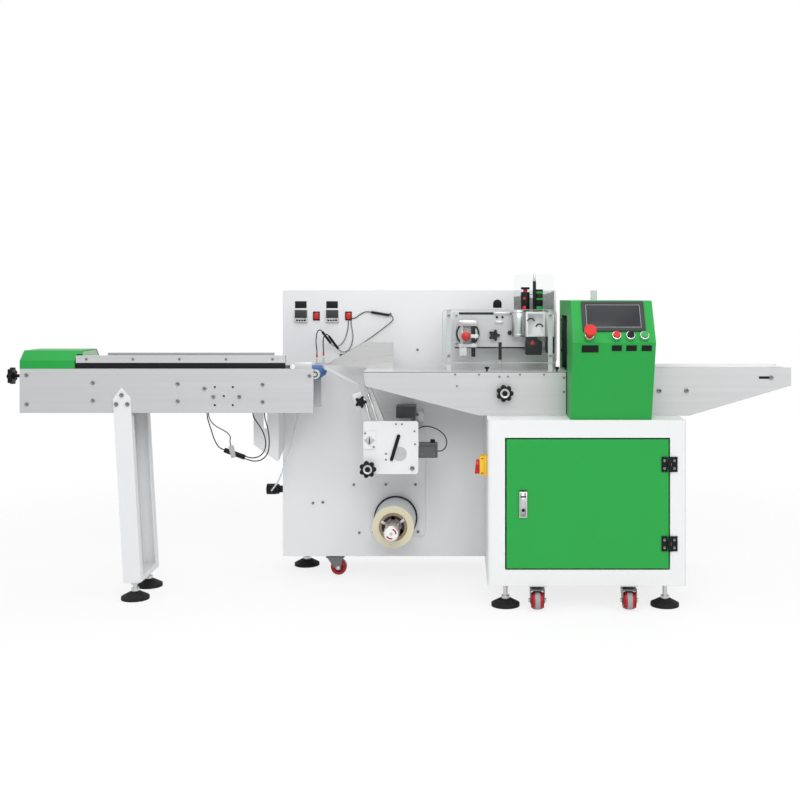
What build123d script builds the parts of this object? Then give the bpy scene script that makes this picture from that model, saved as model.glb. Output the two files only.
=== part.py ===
"""Horizontal flow wrapper: infeed conveyor, former, film unwind, fin seal, end-seal console, discharge.

Millimetres, +Z up, +X along the product flow (infeed left, discharge right), -Y is the operator side.
The origin lies on the floor, at the middle of the overall length and depth.
"""
from build123d import *
import math
import os

os.makedirs("parts", exist_ok=True)

# Along the line, from the tension knob at the left to the discharge end at the right
knob_reach = 78
infeed_length = 1010
transfer_gap = 170
centre_length = 703
console_width = 271
discharge_length = 503

# Across the line, measured back from the front of the cabinet
console_overhang = 75
console_foot_inset = 10
cabinet_depth = 423
main_plate_thickness = 10
housing_depth = 264
cover_thickness = 3
cover_margin = 25
flow_line = 230
infeed_width = 220
track_width = 190

# Heights: the cabinet stands on its feet, and the line stands on the cabinet
underside = 82
cabinet_height = 552
track_rise = 152
infeed_step = 11
discharge_step = 14
main_plate_rise = 282
infeed_plate_height = 152
console_height = 398
console_nose_height = 261

# Plates and sheet
side_plate = 8
sheet = 3
running_clearance = 0.05
slide_clearance = 0.4
seat_gap = 0.3

# Cabinet and door
cabinet_width = 663
cabinet_lead = 277
cabinet_corner = 12
door_lock_margin = 63
door_hinge_margin = 60
door_bottom_margin = 58
door_top_margin = 64
door_gap = 5
door_depth = 18
hinge_height = 50
hinge_leaf_width = 24
hinge_leaf = 4
hinge_axis_proud = 5
hinge_pin_radius = 2
hinge_end_margin = 58
lock_width = 26
lock_height = 90
lock_proud = 4
lock_inset = 42

# Main plate
plate_overlap = 153
plate_end_gap = 13
window_lead = 473
window_width = 32
window_height = 31
window_drop = 65

# Levelling feet and casters
pad_radius = 48
pad_edge = 10
pad_neck_radius = 20
pad_height = 25
stud_radius = 8
nut_radius = 14
nut_height = 10
leg_nut_gap = 3
foot_inset = 62
rear_foot_inset = 70
caster_wheel_radius = 30
caster_wheel_width = 36
caster_floor_gap = 3
caster_trail = 25
caster_plate = 60
caster_plate_thickness = 3
kingpin_radius = 6
axle_radius = 5
fork_sheet = 3
fork_side_gap = 3
fork_crown = 4
fork_crown_height = 69
fork_crown_reach = 22
fork_corner = 8
fork_race_radius = 16
fork_race_height = 8
fork_foot = 9
axle_end = 2
wheel_edge = 6
front_caster_inset = 30
front_caster_spread = 306
front_caster_lead = 166
rear_caster_setback = 37
rear_caster_inset = 178

# Infeed conveyor
belt_thickness = 3
infeed_roller_radius = 27
transfer_roller_radius = 17
transfer_belt_width = 160
infeed_belt_lead = 25
infeed_belt_end = 90
belt_gap = 5
belt_side_gap = 8
transfer_reach = 24
bed_thickness = 28
bed_end_gap = 10
end_plate_drop = 2
end_plate_rise = 10
tray_lead = 590
tray_length = 280
rail_start = 193
rail_length = 720
rear_rail_start = 243
rear_rail_length = 597
rail_width = 30
rail_height = 24
rail_groove = 9
strip_height = 21
hood_length = 206
hood_front_height = 28
hood_height = 61
hood_slope_width = 40
hood_notch_gap = 4
leg_width = 60
leg_sheet = 5
leg_flange = 30
leg_lean = 3.3
leg_top_lead = 350
leg_top_drop = 64
leg_peak = 37
leg_bottom = 62
leg_crossbar_height = 18
leg_flange_gap = 12
bracket_sheet = 6
bracket_reach = 84
bracket_height = 191
bracket_setback = 50
bracket_front_rise = 60
bracket_back_rise = 30
bracket_slot = 60
bracket_slot_width = 14
bracket_slot_drop = 45
mount_hole_radius = 4
mount_hole_pitch = 62
mount_hole_lead = 702
mount_hole_drop = 94

# Handwheels
wheel_radius = 30
wheel_lobes = 7
wheel_lobe_radius = 6.5
wheel_thickness = 16
wheel_shaft_radius = 6
wheel_stand_off = 14
wheel_hub_radius = 12
wheel_hub_length = 6
infeed_knob_drop = 32
centre_wheel_lead = 488
centre_wheel_drop = 73

# Centre section and former
centre_left_drop = 50
centre_left_set_in = 8
centre_flat_lead = 401
fin_slot = 6
wing_sheet = 3
wing_height = 95
wing_base_length = 94
wing_top_length = 105
wing_tip_reach = 150
wing_tip_rise = 14
former_strip = 5
former_strip_width = 30
arm_lean = 21.4
arm_width = 30
arm_length = 120
arm_sheet = 8
profile_length = 150
profile_depth = 25
arm_lap = 30
arm_lead = 30
profile_lead = 68
star_radius = 21
star_lobes = 5
star_lobe_radius = 5
star_thickness = 14
star_neck = 8
star_web = 2

# Film feeding unit and reel
film_plate_width = 193
film_plate_height = 186
film_plate_drop = 364
film_plate_sheet = 6
film_plate_depth = 200
film_plate_lead = 5
film_plate_corner = 10
film_wheel_inset = 17
film_wheel_up = 20
pointer_pad_width = 44
pointer_pad_height = 64
pointer_pad_drop = 34
pointer_pad_proud = 4
tension_bar_length = 96
tension_bar_width = 12
tension_bar_lean = 16.7
tension_bar_lead = 15
tension_bar_thickness = 5
film_roller_radius = 15
film_roller_spread = 112
film_roller_up = 38
film_roller_step = 8
lower_roller_lead = 20
lower_roller_drop = 50
nip_roller_radius = 25
nip_roller_lead = 30
nip_roller_drop = 22
film_rod_radius = 8
film_rod_inset = 20
drive_cover_lead = 109
drive_cover_width = 68
drive_cover_top_width = 44
drive_cover_height = 40
drive_cover_depth = 110
column_width = 204
column_thickness = 12
column_top_drop = 162
column_height = 462
column_lead = 1
column_corner = 10
reel_rise = 70
reel_lead = 98
reel_radius = 74
core_radius = 50
core_bore = 40
reel_width = 168
reel_shaft_radius = 15
reel_front = 106
reel_cap_radius = 27
reel_bearing_radius = 35
reel_bearing_length = 15
reel_flange_radius = 80
reel_flange = 4
reel_flange_gap = 6
shaft_end_gap = 3
chuck_length = 24
chuck_inset = 10
chuck_slots = 3
chuck_slot_width = 14
eye_width = 65
eye_height = 52
eye_depth = 30
eye_up = 56
eye_gap = 2
eye_bracket_lap = 30
eye_bracket_length = 90
eye_bracket_height = 40
eye_bracket_sheet = 6

# Fin-seal unit, coder and guards
fin_plate_lead = 308
fin_plate_width = 374
fin_plate_lift = 75
fin_plate_height = 127
fin_plate_standoff = 83
fin_spacer_radius = 10
fin_spacer_inset = 20
fin_knob_lead = 150
fin_knob_rise = 119
fin_post_lead = 172
fin_post_radius = 5
fin_stand_lead = 362
fin_stand_reach = 40
stand_cap_width = 64
stand_cap_height = 20
stand_cap_rise = 154
stand_wheel_radius = 43
stand_wheel_width = 15
stand_wheel_rise = 124
stand_foot_width = 64
stand_foot_height = 10
stand_foot_rise = 78
stand_depth = 28
stand_post_radius = 7
stand_post_spread = 40
stand_leg_length = 36
lever_rise = 119
lever_lead = 7
lever_reach = 40
lever_length = 38
lever_radius = 5
lever_pin_radius = 4
lever_hub_radius = 8
lever_hub_width = 14
lever_ear_sheet = 6
lever_ear_gap = 1
lever_ear_height = 20
lever_ear_end = 8
lever_ball_radius = 17
coder_lead = 569
coder_width = 71
coder_depth = 60
coder_rise = 115
coder_height = 90
coder_head_width = 58
coder_head_height = 65
coder_head_depth = 48
coder_head_slope = 16
coder_arm = 40
coder_arm_rise = 134
ribbon_radius = 25
ribbon_lead = 24
ribbon_height = 95
tower_mast_radius = 6
tower_mast_lead = 24
tower_mast_height = 138
tower_radii = (16, 18)
tower_leads = (0, 46)
tower_heights = (88, 80)
coder_motor_lead = 75
coder_motor_width = 30
coder_motor_rise = 55
coder_motor_height = 137
guard_lead = 273
guard_length = 396
guard_sheet = 5
guard_lift = 29
guard_height = 185
guard_corner = 15
guard_post_width = 16
guard_post_depth = 8
guard_post_inset = 22
rear_guard_lead = 534
rear_guard_length = 149
rear_guard_lift = 60
rear_guard_rise = 341
end_post_lead = 118
end_post_width = 22
end_post_setback = 2

# Console
tunnel_lift = 4
tunnel_top_margin = 52
screen_width = 207
control_band = 41
screen_thickness = 7
screen_lead = 34
screen_top_margin = 6
screen_corner = 4
button_radius = 11
button_pitch = 45.5
button_lead = 142
button_up = 19
collar_radius = 14.5
collar_height = 19
button_proud = 6
button_depth = 9
estop_lead = 53
estop_up = 18
estop_head_radius = 20
estop_head_height = 12
estop_height = 54

# Discharge and electrical fittings
discharge_end_height = 62
discharge_flat = 151
discharge_roller_radius = 22
discharge_belt_lead = 12
discharge_belt_end = 6
discharge_side_gap = 4
switch_plate = 69
switch_plate_thickness = 9
switch_body = 62
switch_body_depth = 17
switch_plate_corner = 4
switch_drop = 157
switch_depth = 60
switch_boss_radius = 17
switch_boss_depth = 11
switch_grip = 30
switch_grip_width = 14
switch_grip_depth = 16
switch_pin_radius = 5
controller = 48
controller_proud = 9
controller_leads = (44, 160)
rocker_leads = (112, 231)
rocker_width = 25
rocker_height = 33
rocker_proud = 5
controller_drop = 95
regulator_radius = 20
regulator_length = 46
regulator_neck_radius = 13
regulator_neck = 18
regulator_height = 326
regulator_setback = 20

# Cords and what they plug into
lead_diameter = 4
thin_lead_diameter = 3.2
hose_diameter = 6
gland_radius = 6
gland_height = 6
sensor_bar_width = 46
sensor_bar_height = 8
sensor_rod_radius = 3
ferrule_radius = 3.4
sleeve_radius = 4.5
pen_radius = 4.5
connector_height = 16
connector_depth = 12
connector_corner = 2
black_connector = 76
grey_connector = 42
ferrule_length = 14
hose_port_radius = 7
hose_port_reach = 26
hose_port_lead = 23
plug_gap = 0.02
arc_share = 0.45
tray_cord_reach = 80
eye_cord_rise = 21
hose_gland_lead = 60
hose_gland_rise = 55
pen_gland_lead = 216
pen_gland_rise = 41

# Places along the line
total_length = knob_reach + infeed_length + transfer_gap + centre_length + console_width + discharge_length
x_tip = -total_length / 2
x_infeed = x_tip + knob_reach
x_infeed_end = x_infeed + infeed_length
x_centre = x_infeed_end + transfer_gap
x_console = x_centre + centre_length
x_discharge = x_console + console_width
x_end = x_discharge + discharge_length
x_cabinet = x_console - cabinet_lead
x_cabinet_end = x_cabinet + cabinet_width
x_plate = x_infeed_end - plate_overlap
x_plate_end = x_console - plate_end_gap

# Heights above the floor
cabinet_top = underside + cabinet_height
track_top = cabinet_top + track_rise
infeed_top = track_top + infeed_step
infeed_bottom = infeed_top - infeed_plate_height
discharge_top = track_top + discharge_step
main_plate_top = track_top + main_plate_rise
column_bottom = track_top - column_top_drop - column_height
reel_height = column_bottom + reel_rise
film_plate_bottom = track_top - film_plate_drop
lever_pivot_height = track_top + lever_rise
switch_height = cabinet_top - switch_drop

# The console's slope, and how far the emergency stop reaches in front of the nose
slope_rise = console_height - console_nose_height
slope_setback = console_overhang + console_foot_inset
slope = math.atan2(slope_setback, slope_rise)
slope_length = math.hypot(slope_setback, slope_rise)
estop_reach = (
    estop_height * math.cos(slope) + estop_head_radius * math.sin(slope) - estop_up * math.sin(slope)
)

# Places across the line
front_reach = console_overhang + estop_reach
total_depth = front_reach + cabinet_depth + main_plate_thickness + housing_depth + cover_thickness
y_front = front_reach - total_depth / 2
y_plate = y_front + cabinet_depth
y_housing = y_plate + main_plate_thickness
y_back = y_housing + housing_depth
y_flow = y_front + flow_line
y_infeed = y_flow - infeed_width / 2
y_infeed_back = y_flow + infeed_width / 2
y_track = y_flow - track_width / 2
y_track_back = y_flow + track_width / 2


def front_plane(y):
    """Upright plane facing the operator: sketch x is X, sketch y is Z, extrude goes towards -Y."""
    return Plane.XZ.offset(-y)


def side_plane(x):
    """Upright plane across the line: sketch x is Y, sketch y is Z, extrude goes towards +X."""
    return Plane.YZ.offset(x)


def level(z):
    return Plane.XY.offset(z)


def face_at(x, y, z):
    """A front plane with its own origin, for what stands out of a plate towards the operator."""
    return Plane(origin=(x, y, z), x_dir=(1, 0, 0), z_dir=(0, -1, 0))


def leaning_plane(x, y, z, lean_angle):
    """A front plane turned so that its sketch y leans back to the left by an angle in degrees."""
    turn = math.radians(lean_angle)
    return Plane(origin=(x, y, z), x_dir=(math.cos(turn), 0, math.sin(turn)), z_dir=(0, -1, 0))


def block(x_range, y_range, z_range, mode=Mode.ADD):
    """A box from its lowest and highest value on each axis, in the active part."""
    spans = (x_range, y_range, z_range)
    with Locations(tuple((low + high) / 2 for low, high in spans)):
        Box(*(high - low for low, high in spans), mode=mode)


def rod(plane, at, radius, length, mode=Mode.ADD):
    """A round bar from a plane along its normal, in the active part."""
    with Locations(plane.location * Pos(*at)):
        Cylinder(radius, length, align=(Align.CENTER, Align.CENTER, Align.MIN), mode=mode)


def write(piece, name):
    piece.part.label = name
    export_step(piece.part, f"parts/{name}.step")


# Main plate: one upright plate that carries the whole line, stepped down behind the cabinet,
# with an arched window for the drive
with BuildPart() as main_plate:
    with BuildSketch(front_plane(y_housing)):
        with BuildLine():
            Polyline(
                (x_plate, underside),
                (x_cabinet_end, underside),
                (x_cabinet_end, cabinet_top),
                (x_plate_end, cabinet_top),
                (x_plate_end, main_plate_top),
                (x_plate, main_plate_top),
                close=True,
            )
        make_face()
        window_at = (x_centre + window_lead, main_plate_top - window_drop)
        with Locations(window_at):
            Rectangle(window_width, window_height - window_width / 2, align=(Align.CENTER, Align.MIN),
                      mode=Mode.SUBTRACT)
        with Locations((window_at[0], window_at[1] + window_height - window_width / 2)):
            Circle(window_width / 2, mode=Mode.SUBTRACT)
    extrude(amount=main_plate_thickness)
write(main_plate, "main_plate")

# Rear housing: closed sheet-metal drive housing with raised service covers
with BuildPart() as rear_housing:
    with BuildSketch(front_plane(y_back)):
        with BuildLine():
            Polyline(
                (x_plate, underside),
                (x_cabinet_end, underside),
                (x_cabinet_end, cabinet_top),
                (x_plate_end, cabinet_top),
                (x_plate_end, main_plate_top),
                (x_plate, main_plate_top),
                close=True,
            )
        make_face()
    extrude(amount=housing_depth)
    cover_split = (x_plate + x_plate_end) / 2
    cover_top = main_plate_top - cover_margin
    for x_low, x_high, z_high in (
        (x_plate, cover_split, cover_top),
        (cover_split, x_plate_end, cover_top),
        (x_plate_end, x_cabinet_end, cabinet_top - cover_margin),
    ):
        block(
            (x_low + cover_margin, x_high - cover_margin),
            (y_back, y_back + cover_thickness),
            (underside + cover_margin, z_high),
        )
write(rear_housing, "rear_housing")

# Cabinet: a folded front frame and a shell of walls, top and floor; the main plate closes its back
door_width = cabinet_width - door_lock_margin - door_hinge_margin
door_height = cabinet_height - door_bottom_margin - door_top_margin
door_left = x_cabinet + door_lock_margin
door_bottom = underside + door_bottom_margin
with BuildPart() as cabinet_front_frame:
    with BuildSketch(level(underside)):
        with Locations((x_cabinet + cabinet_width / 2, y_front + door_depth)):
            Rectangle(cabinet_width, 2 * door_depth)
        front_corners = [v for v in vertices() if v.Y < y_front + sheet]
        fillet(front_corners, cabinet_corner)
        with Locations((x_cabinet + cabinet_width / 2, y_front + 1.5 * door_depth)):
            Rectangle(cabinet_width, door_depth, mode=Mode.SUBTRACT)
    extrude(amount=cabinet_height)
    block(
        (door_left - door_gap, door_left + door_width + door_gap),
        (y_front, y_front + door_depth),
        (door_bottom - door_gap, door_bottom + door_height + door_gap),
        mode=Mode.SUBTRACT,
    )
write(cabinet_front_frame, "cabinet_front_frame")

y_wall = y_front + door_depth
switch_at = (y_front + switch_depth, switch_height)
with BuildPart() as cabinet_shell:
    block((x_cabinet, x_cabinet_end), (y_wall, y_plate), (underside, cabinet_top))
    shell_ends = cabinet_shell.faces().filter_by(Axis.Y)
    offset(amount=-sheet, openings=shell_ends)
    rod(side_plane(x_cabinet), switch_at, switch_pin_radius + running_clearance, sheet, Mode.SUBTRACT)
write(cabinet_shell, "cabinet_shell")

# Door: a folded pan, open at the back, hung on two surface hinges at its right edge
with BuildPart() as door_panel:
    block(
        (door_left, door_left + door_width),
        (y_front, y_front + door_depth),
        (door_bottom, door_bottom + door_height),
    )
    offset(amount=-sheet, openings=door_panel.faces().sort_by(Axis.Y)[-1])
write(door_panel, "door_panel")

x_hinge = door_left + door_width + door_gap / 2
y_hinge = y_front - hinge_axis_proud
hinge_knuckle_radius = hinge_axis_proud - seat_gap
hinge_levels = (
    door_bottom + hinge_end_margin,
    door_bottom + door_height - hinge_end_margin - hinge_height,
)
knuckle_height = hinge_height / 3


def hinge_leaf_plate(direction, z_low):
    """One leaf, from just beside the knuckle outwards over the sheet it is screwed to."""
    inner = x_hinge + direction * (door_gap / 2 + hinge_knuckle_radius - seat_gap)
    outer = x_hinge + direction * (hinge_leaf_width + door_gap / 2)
    block(
        (min(inner, outer), max(inner, outer)),
        (y_front - hinge_leaf, y_front),
        (z_low, z_low + hinge_height),
    )


def hinge_knuckle(direction, z_low, height):
    """A knuckle round the pin, with the web that joins it to its leaf."""
    rod(level(z_low), (x_hinge, y_hinge), hinge_knuckle_radius, height)
    web_end = x_hinge + direction * (door_gap / 2 + hinge_knuckle_radius)
    block(
        (min(x_hinge, web_end), max(x_hinge, web_end)),
        (y_hinge - hinge_knuckle_radius, y_front - 2 * seat_gap),
        (z_low, z_low + height),
    )


with BuildPart() as door_hardware:
    for z_low in hinge_levels:
        hinge_leaf_plate(-1, z_low)
        hinge_knuckle(-1, z_low + knuckle_height + seat_gap, knuckle_height - 2 * seat_gap)
        rod(
            level(z_low),
            (x_hinge, y_hinge),
            hinge_pin_radius + running_clearance,
            hinge_height,
            Mode.SUBTRACT,
        )
    lock_x = door_left + lock_inset
    lock_z = door_bottom + door_height / 2 - lock_height / 2
    block(
        (lock_x, lock_x + lock_width),
        (y_front - lock_proud, y_front),
        (lock_z, lock_z + lock_height),
    )
write(door_hardware, "door_hardware")

with BuildPart() as hinge_frame_leaves:
    for z_low in hinge_levels:
        hinge_leaf_plate(1, z_low)
        for step in (0, 2):
            hinge_knuckle(1, z_low + step * knuckle_height, knuckle_height)
        rod(level(z_low), (x_hinge, y_hinge), hinge_pin_radius, hinge_height)
write(hinge_frame_leaves, "hinge_frame_leaves")

# Levelling feet: four under the machine, two under the infeed leg
machine_feet = (
    (x_cabinet + foot_inset, y_front + foot_inset),
    (x_cabinet_end - foot_inset, y_front + foot_inset),
    (x_plate + foot_inset, y_back - rear_foot_inset),
    (x_cabinet_end - foot_inset, y_back - rear_foot_inset),
)
lean = math.radians(leg_lean)
x_leg_top = x_infeed + leg_top_lead
leg_top_height = infeed_top - leg_top_drop
leg_run = leg_top_height - leg_bottom
x_leg_bottom = x_leg_top + leg_run * math.tan(lean)
leg_stud_length = (leg_bottom - pad_height - 2 * seat_gap) / math.cos(lean)
x_leg_foot = x_leg_bottom + leg_stud_length * math.sin(lean)
leg_feet = (
    (x_leg_foot, y_infeed - leg_sheet + leg_flange),
    (x_leg_foot, y_infeed_back + leg_sheet - leg_flange),
)
with BuildPart() as foot_pads:
    for x, y in machine_feet + leg_feet:
        with BuildSketch(Plane.XZ):
            with BuildLine():
                Polyline(
                    (0, 0),
                    (pad_radius, 0),
                    (pad_radius, pad_edge),
                    (pad_neck_radius, pad_height),
                    (0, pad_height),
                    close=True,
                )
            make_face()
        pad = revolve(axis=Axis.Z, mode=Mode.PRIVATE)
        add(pad.moved(Location((x, y, 0))))
write(foot_pads, "foot_pads")

# Casters: four swivel casters that hang just clear of the floor once the feet are down
front_caster_y = y_front + front_caster_inset
caster_places = (
    (x_cabinet + front_caster_lead, front_caster_y, -90),
    (x_cabinet + front_caster_lead + front_caster_spread, front_caster_y, -90),
    (x_plate + rear_caster_inset, y_housing + rear_caster_setback, 0),
    (x_cabinet_end - rear_caster_inset, y_housing + rear_caster_setback, 0),
)
caster_axle_height = caster_floor_gap + caster_wheel_radius
caster_plate_bottom = underside - caster_plate_thickness

with BuildPart() as floor_fittings:
    for x, y in machine_feet:
        rod(level(pad_height), (x, y), stud_radius, underside - pad_height)
        for nut_bottom in (pad_height, underside - nut_height):
            rod(level(nut_bottom), (x, y), nut_radius, nut_height)
    for x, y in leg_feet:
        leg_end = Plane(
            origin=(x_leg_bottom, y, leg_bottom), x_dir=(0, 1, 0), z_dir=(math.sin(lean), 0, -math.cos(lean))
        )
        rod(leg_end, (0, 0), stud_radius, leg_stud_length)
        for nut_along in (0, leg_stud_length - nut_height - leg_nut_gap):
            rod(leg_end.offset(nut_along), (0, 0), nut_radius, nut_height)
    for x, y, heading in caster_places:
        block(
            (x - caster_plate / 2, x + caster_plate / 2),
            (y - caster_plate / 2, y + caster_plate / 2),
            (caster_plate_bottom, underside),
        )
        rod(level(fork_crown_height), (x, y), kingpin_radius, caster_plate_bottom - fork_crown_height)
write(floor_fittings, "floor_fittings")

fork_half = caster_wheel_width / 2 + fork_side_gap
for number, (x, y, heading) in enumerate(caster_places, start=1):
    turn = math.radians(heading)
    trail = Plane(origin=(x, y, 0), x_dir=(math.cos(turn), math.sin(turn), 0), z_dir=(0, 0, 1))
    upright = Plane(origin=(x, y, 0), x_dir=trail.x_dir, z_dir=trail.y_dir * -1)
    with BuildPart() as caster_fork:
        with BuildSketch(trail.offset(fork_crown_height)):
            with Locations((caster_trail / 2, 0)):
                crown_length = caster_trail + 2 * fork_crown_reach
                RectangleRounded(crown_length, 2 * (fork_half + fork_sheet), fork_corner)
        extrude(amount=fork_crown)
        rod(trail.offset(fork_crown_height), (0, 0), fork_race_radius, fork_race_height)
        for side in (-1, 1):
            with BuildSketch(upright.offset(side * (fork_half + fork_sheet / 2))):
                with BuildLine():
                    Polyline(
                        (-fork_race_radius, fork_crown_height),
                        (caster_trail + fork_race_radius, fork_crown_height),
                        (caster_trail + fork_foot, caster_axle_height - fork_foot),
                        (caster_trail - fork_foot, caster_axle_height - fork_foot),
                        close=True,
                    )
                make_face()
            extrude(amount=fork_sheet / 2, both=True)
        rod(
            upright.offset(-fork_half - fork_sheet - axle_end),
            (caster_trail, caster_axle_height),
            axle_radius - running_clearance,
            2 * (fork_half + fork_sheet + axle_end),
        )
        rod(
            trail.offset(fork_crown_height),
            (0, 0),
            kingpin_radius + running_clearance,
            fork_race_height,
            Mode.SUBTRACT,
        )
    write(caster_fork, f"caster_fork_{number}")

    with BuildPart() as caster_wheel:
        wheel_side = upright.offset(-caster_wheel_width / 2)
        rod(wheel_side, (caster_trail, caster_axle_height), caster_wheel_radius, caster_wheel_width)
        fillet(caster_wheel.edges().filter_by(GeomType.CIRCLE), wheel_edge)
        rod(wheel_side, (caster_trail, caster_axle_height), axle_radius, caster_wheel_width, Mode.SUBTRACT)
    write(caster_wheel, f"caster_wheel_{number}")

# Side plates: the infeed pair, the centre pair with its slanted underside, and the discharge pair
mount_centre = (x_infeed + mount_hole_lead, infeed_top - mount_hole_drop)
wheel_bore = wheel_shaft_radius + running_clearance
x_centre_wheel = x_centre + centre_wheel_lead
z_centre_wheel = track_top - centre_wheel_drop
with BuildPart() as conveyor_side_plates:
    for y_face in (y_infeed + side_plate, y_infeed_back):
        with BuildSketch(front_plane(y_face)):
            with Locations(((x_infeed + x_infeed_end) / 2, (infeed_top + infeed_bottom) / 2)):
                Rectangle(infeed_length, infeed_plate_height)
            if y_face < y_flow:
                with Locations(mount_centre):
                    with GridLocations(mount_hole_pitch, mount_hole_pitch, 2, 2):
                        Circle(mount_hole_radius, mode=Mode.SUBTRACT)
                    Circle(mount_hole_radius, mode=Mode.SUBTRACT)
        extrude(amount=side_plate)
    for y_face in (y_track + side_plate, y_track_back):
        with BuildSketch(front_plane(y_face)):
            with BuildLine():
                Polyline(
                    (x_centre, track_top),
                    (x_centre + centre_left_set_in, track_top - centre_left_drop),
                    (x_centre + centre_flat_lead, cabinet_top),
                    (x_console, cabinet_top),
                    (x_console, track_top),
                    close=True,
                )
            make_face()
            if y_face < y_flow:
                with Locations((x_centre_wheel, z_centre_wheel)):
                    Circle(wheel_bore, mode=Mode.SUBTRACT)
        extrude(amount=side_plate)
        with BuildSketch(front_plane(y_face)):
            with BuildLine():
                Polyline(
                    (x_discharge, discharge_top),
                    (x_end, discharge_top),
                    (x_end, discharge_top - discharge_end_height),
                    (x_discharge + discharge_flat, cabinet_top),
                    (x_discharge, cabinet_top),
                    close=True,
                )
            make_face()
        extrude(amount=side_plate)
write(conveyor_side_plates, "conveyor_side_plates")


# Belts: closed loops round two rollers, and the beds and rollers inside them
def belt_loop(x_low, x_high, z_top, roller, y_low, y_high):
    """A belt of even thickness round two equal rollers."""
    outer = roller + belt_thickness
    with BuildSketch(front_plane(y_high)) as loop:
        with Locations(((x_low + x_high) / 2, z_top - outer)):
            SlotOverall(x_high - x_low, 2 * outer)
            SlotOverall(x_high - x_low - 2 * belt_thickness, 2 * roller, mode=Mode.SUBTRACT)
    extrude(loop.sketch, amount=y_high - y_low)


infeed_belt_x = (x_infeed + infeed_belt_lead, x_infeed_end - infeed_belt_end)
transfer_belt_x = (x_infeed_end - infeed_belt_end + belt_gap, x_infeed_end + transfer_reach)
discharge_belt_x = (x_discharge + discharge_belt_lead, x_end - discharge_belt_end)
infeed_inner = (y_infeed + side_plate, y_infeed_back - side_plate)
track_inner = (y_track + side_plate, y_track_back - side_plate)
with BuildPart() as infeed_belt:
    belt_loop(
        *infeed_belt_x,
        infeed_top,
        infeed_roller_radius,
        infeed_inner[0] + belt_side_gap,
        infeed_inner[1] - belt_side_gap,
    )
write(infeed_belt, "infeed_belt")

with BuildPart() as transfer_belt:
    belt_loop(
        *transfer_belt_x,
        infeed_top,
        transfer_roller_radius,
        y_flow - transfer_belt_width / 2,
        y_flow + transfer_belt_width / 2,
    )
write(transfer_belt, "transfer_belt")

with BuildPart() as discharge_belt:
    belt_loop(
        *discharge_belt_x,
        discharge_top + belt_thickness,
        discharge_roller_radius,
        track_inner[0] + discharge_side_gap,
        track_inner[1] - discharge_side_gap,
    )
write(discharge_belt, "discharge_belt")

with BuildPart() as conveyor_beds:
    for belt_x, z_top, roller, inner in (
        (infeed_belt_x, infeed_top, infeed_roller_radius, infeed_inner),
        (transfer_belt_x, infeed_top, transfer_roller_radius, infeed_inner),
        (discharge_belt_x, discharge_top + belt_thickness, discharge_roller_radius, track_inner),
    ):
        edge = roller + belt_thickness
        for x in (belt_x[0] + edge, belt_x[1] - edge):
            rod(front_plane(inner[1]), (x, z_top - edge), roller - seat_gap, inner[1] - inner[0])
        bed_x = (belt_x[0] + 2 * edge + bed_end_gap, belt_x[1] - 2 * edge - bed_end_gap)
        if bed_x[1] > bed_x[0]:
            bed_top = z_top - belt_thickness - seat_gap
            block(bed_x, inner, (bed_top - min(bed_thickness, roller), bed_top))
    end_plate_z = (infeed_bottom + end_plate_rise, infeed_top - end_plate_drop)
    block((x_infeed, x_infeed + side_plate), infeed_inner, end_plate_z)
    knob_at = (y_flow, infeed_top - infeed_knob_drop)
    rod(side_plane(x_infeed), knob_at, wheel_bore, side_plate, Mode.SUBTRACT)
    tray_x = (x_infeed + tray_lead, x_infeed + tray_lead + tray_length)
    block(tray_x, infeed_inner, (infeed_bottom, infeed_bottom + sheet))
    sensor_bar_top = infeed_top + sensor_bar_height
    block(
        (x_infeed_end - sensor_bar_width / 2, x_infeed_end + sensor_bar_width / 2),
        (infeed_inner[1], y_infeed_back),
        (infeed_top, sensor_bar_top),
    )
    for y_range in ((track_inner[0], y_flow - fin_slot / 2), (y_flow + fin_slot / 2, track_inner[1])):
        block((x_centre, x_console), y_range, (track_top - side_plate, track_top))
write(conveyor_beds, "conveyor_beds")

# Product guides over the infeed belt: a wear strip under a grooved aluminium rail, on both sides
with BuildPart() as guide_rails:
    for y_out, inward, start, length in (
        (y_infeed, 1, rail_start, rail_length),
        (y_infeed_back, -1, rear_rail_start, rear_rail_length),
    ):
        with BuildSketch(side_plane(x_infeed + start)):
            strip_y = y_out + inward * side_plate / 2
            with Locations((strip_y, infeed_top + strip_height / 2)):
                Rectangle(side_plate, strip_height)
            with Locations((y_out + inward * rail_width / 2, infeed_top + strip_height + rail_height / 2)):
                Rectangle(rail_width, rail_height)
            rail_inside = y_out + inward * (rail_width - rail_groove / 2)
            with Locations((rail_inside, infeed_top + strip_height + rail_height / 2)):
                Rectangle(rail_groove, rail_height / 3, mode=Mode.SUBTRACT)
        extrude(amount=length)
write(guide_rails, "guide_rails")

# Hood over the infeed end: folded sheet with sloped shoulders, cut out over the front rail's end
with BuildPart() as infeed_hood:
    with BuildSketch(side_plane(x_infeed)):
        with BuildLine():
            Polyline(
                (y_infeed, infeed_top),
                (y_infeed, infeed_top + hood_front_height),
                (y_infeed + hood_slope_width, infeed_top + hood_height),
                (y_infeed_back - hood_slope_width, infeed_top + hood_height),
                (y_infeed_back, infeed_top + hood_front_height),
                (y_infeed_back, infeed_top),
                close=True,
            )
        make_face()
    extrude(amount=hood_length)
    lower = infeed_hood.faces().sort_by(Axis.Z)[0]
    right_end = infeed_hood.faces().sort_by(Axis.X)[-1]
    offset(amount=-sheet, openings=[lower, right_end])
    block(
        (x_infeed + rail_start - hood_notch_gap, x_infeed + hood_length),
        (y_infeed, y_infeed + rail_width + hood_notch_gap),
        (infeed_top, infeed_top + strip_height + rail_height + hood_notch_gap),
        mode=Mode.SUBTRACT,
    )
write(infeed_hood, "infeed_hood")

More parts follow.
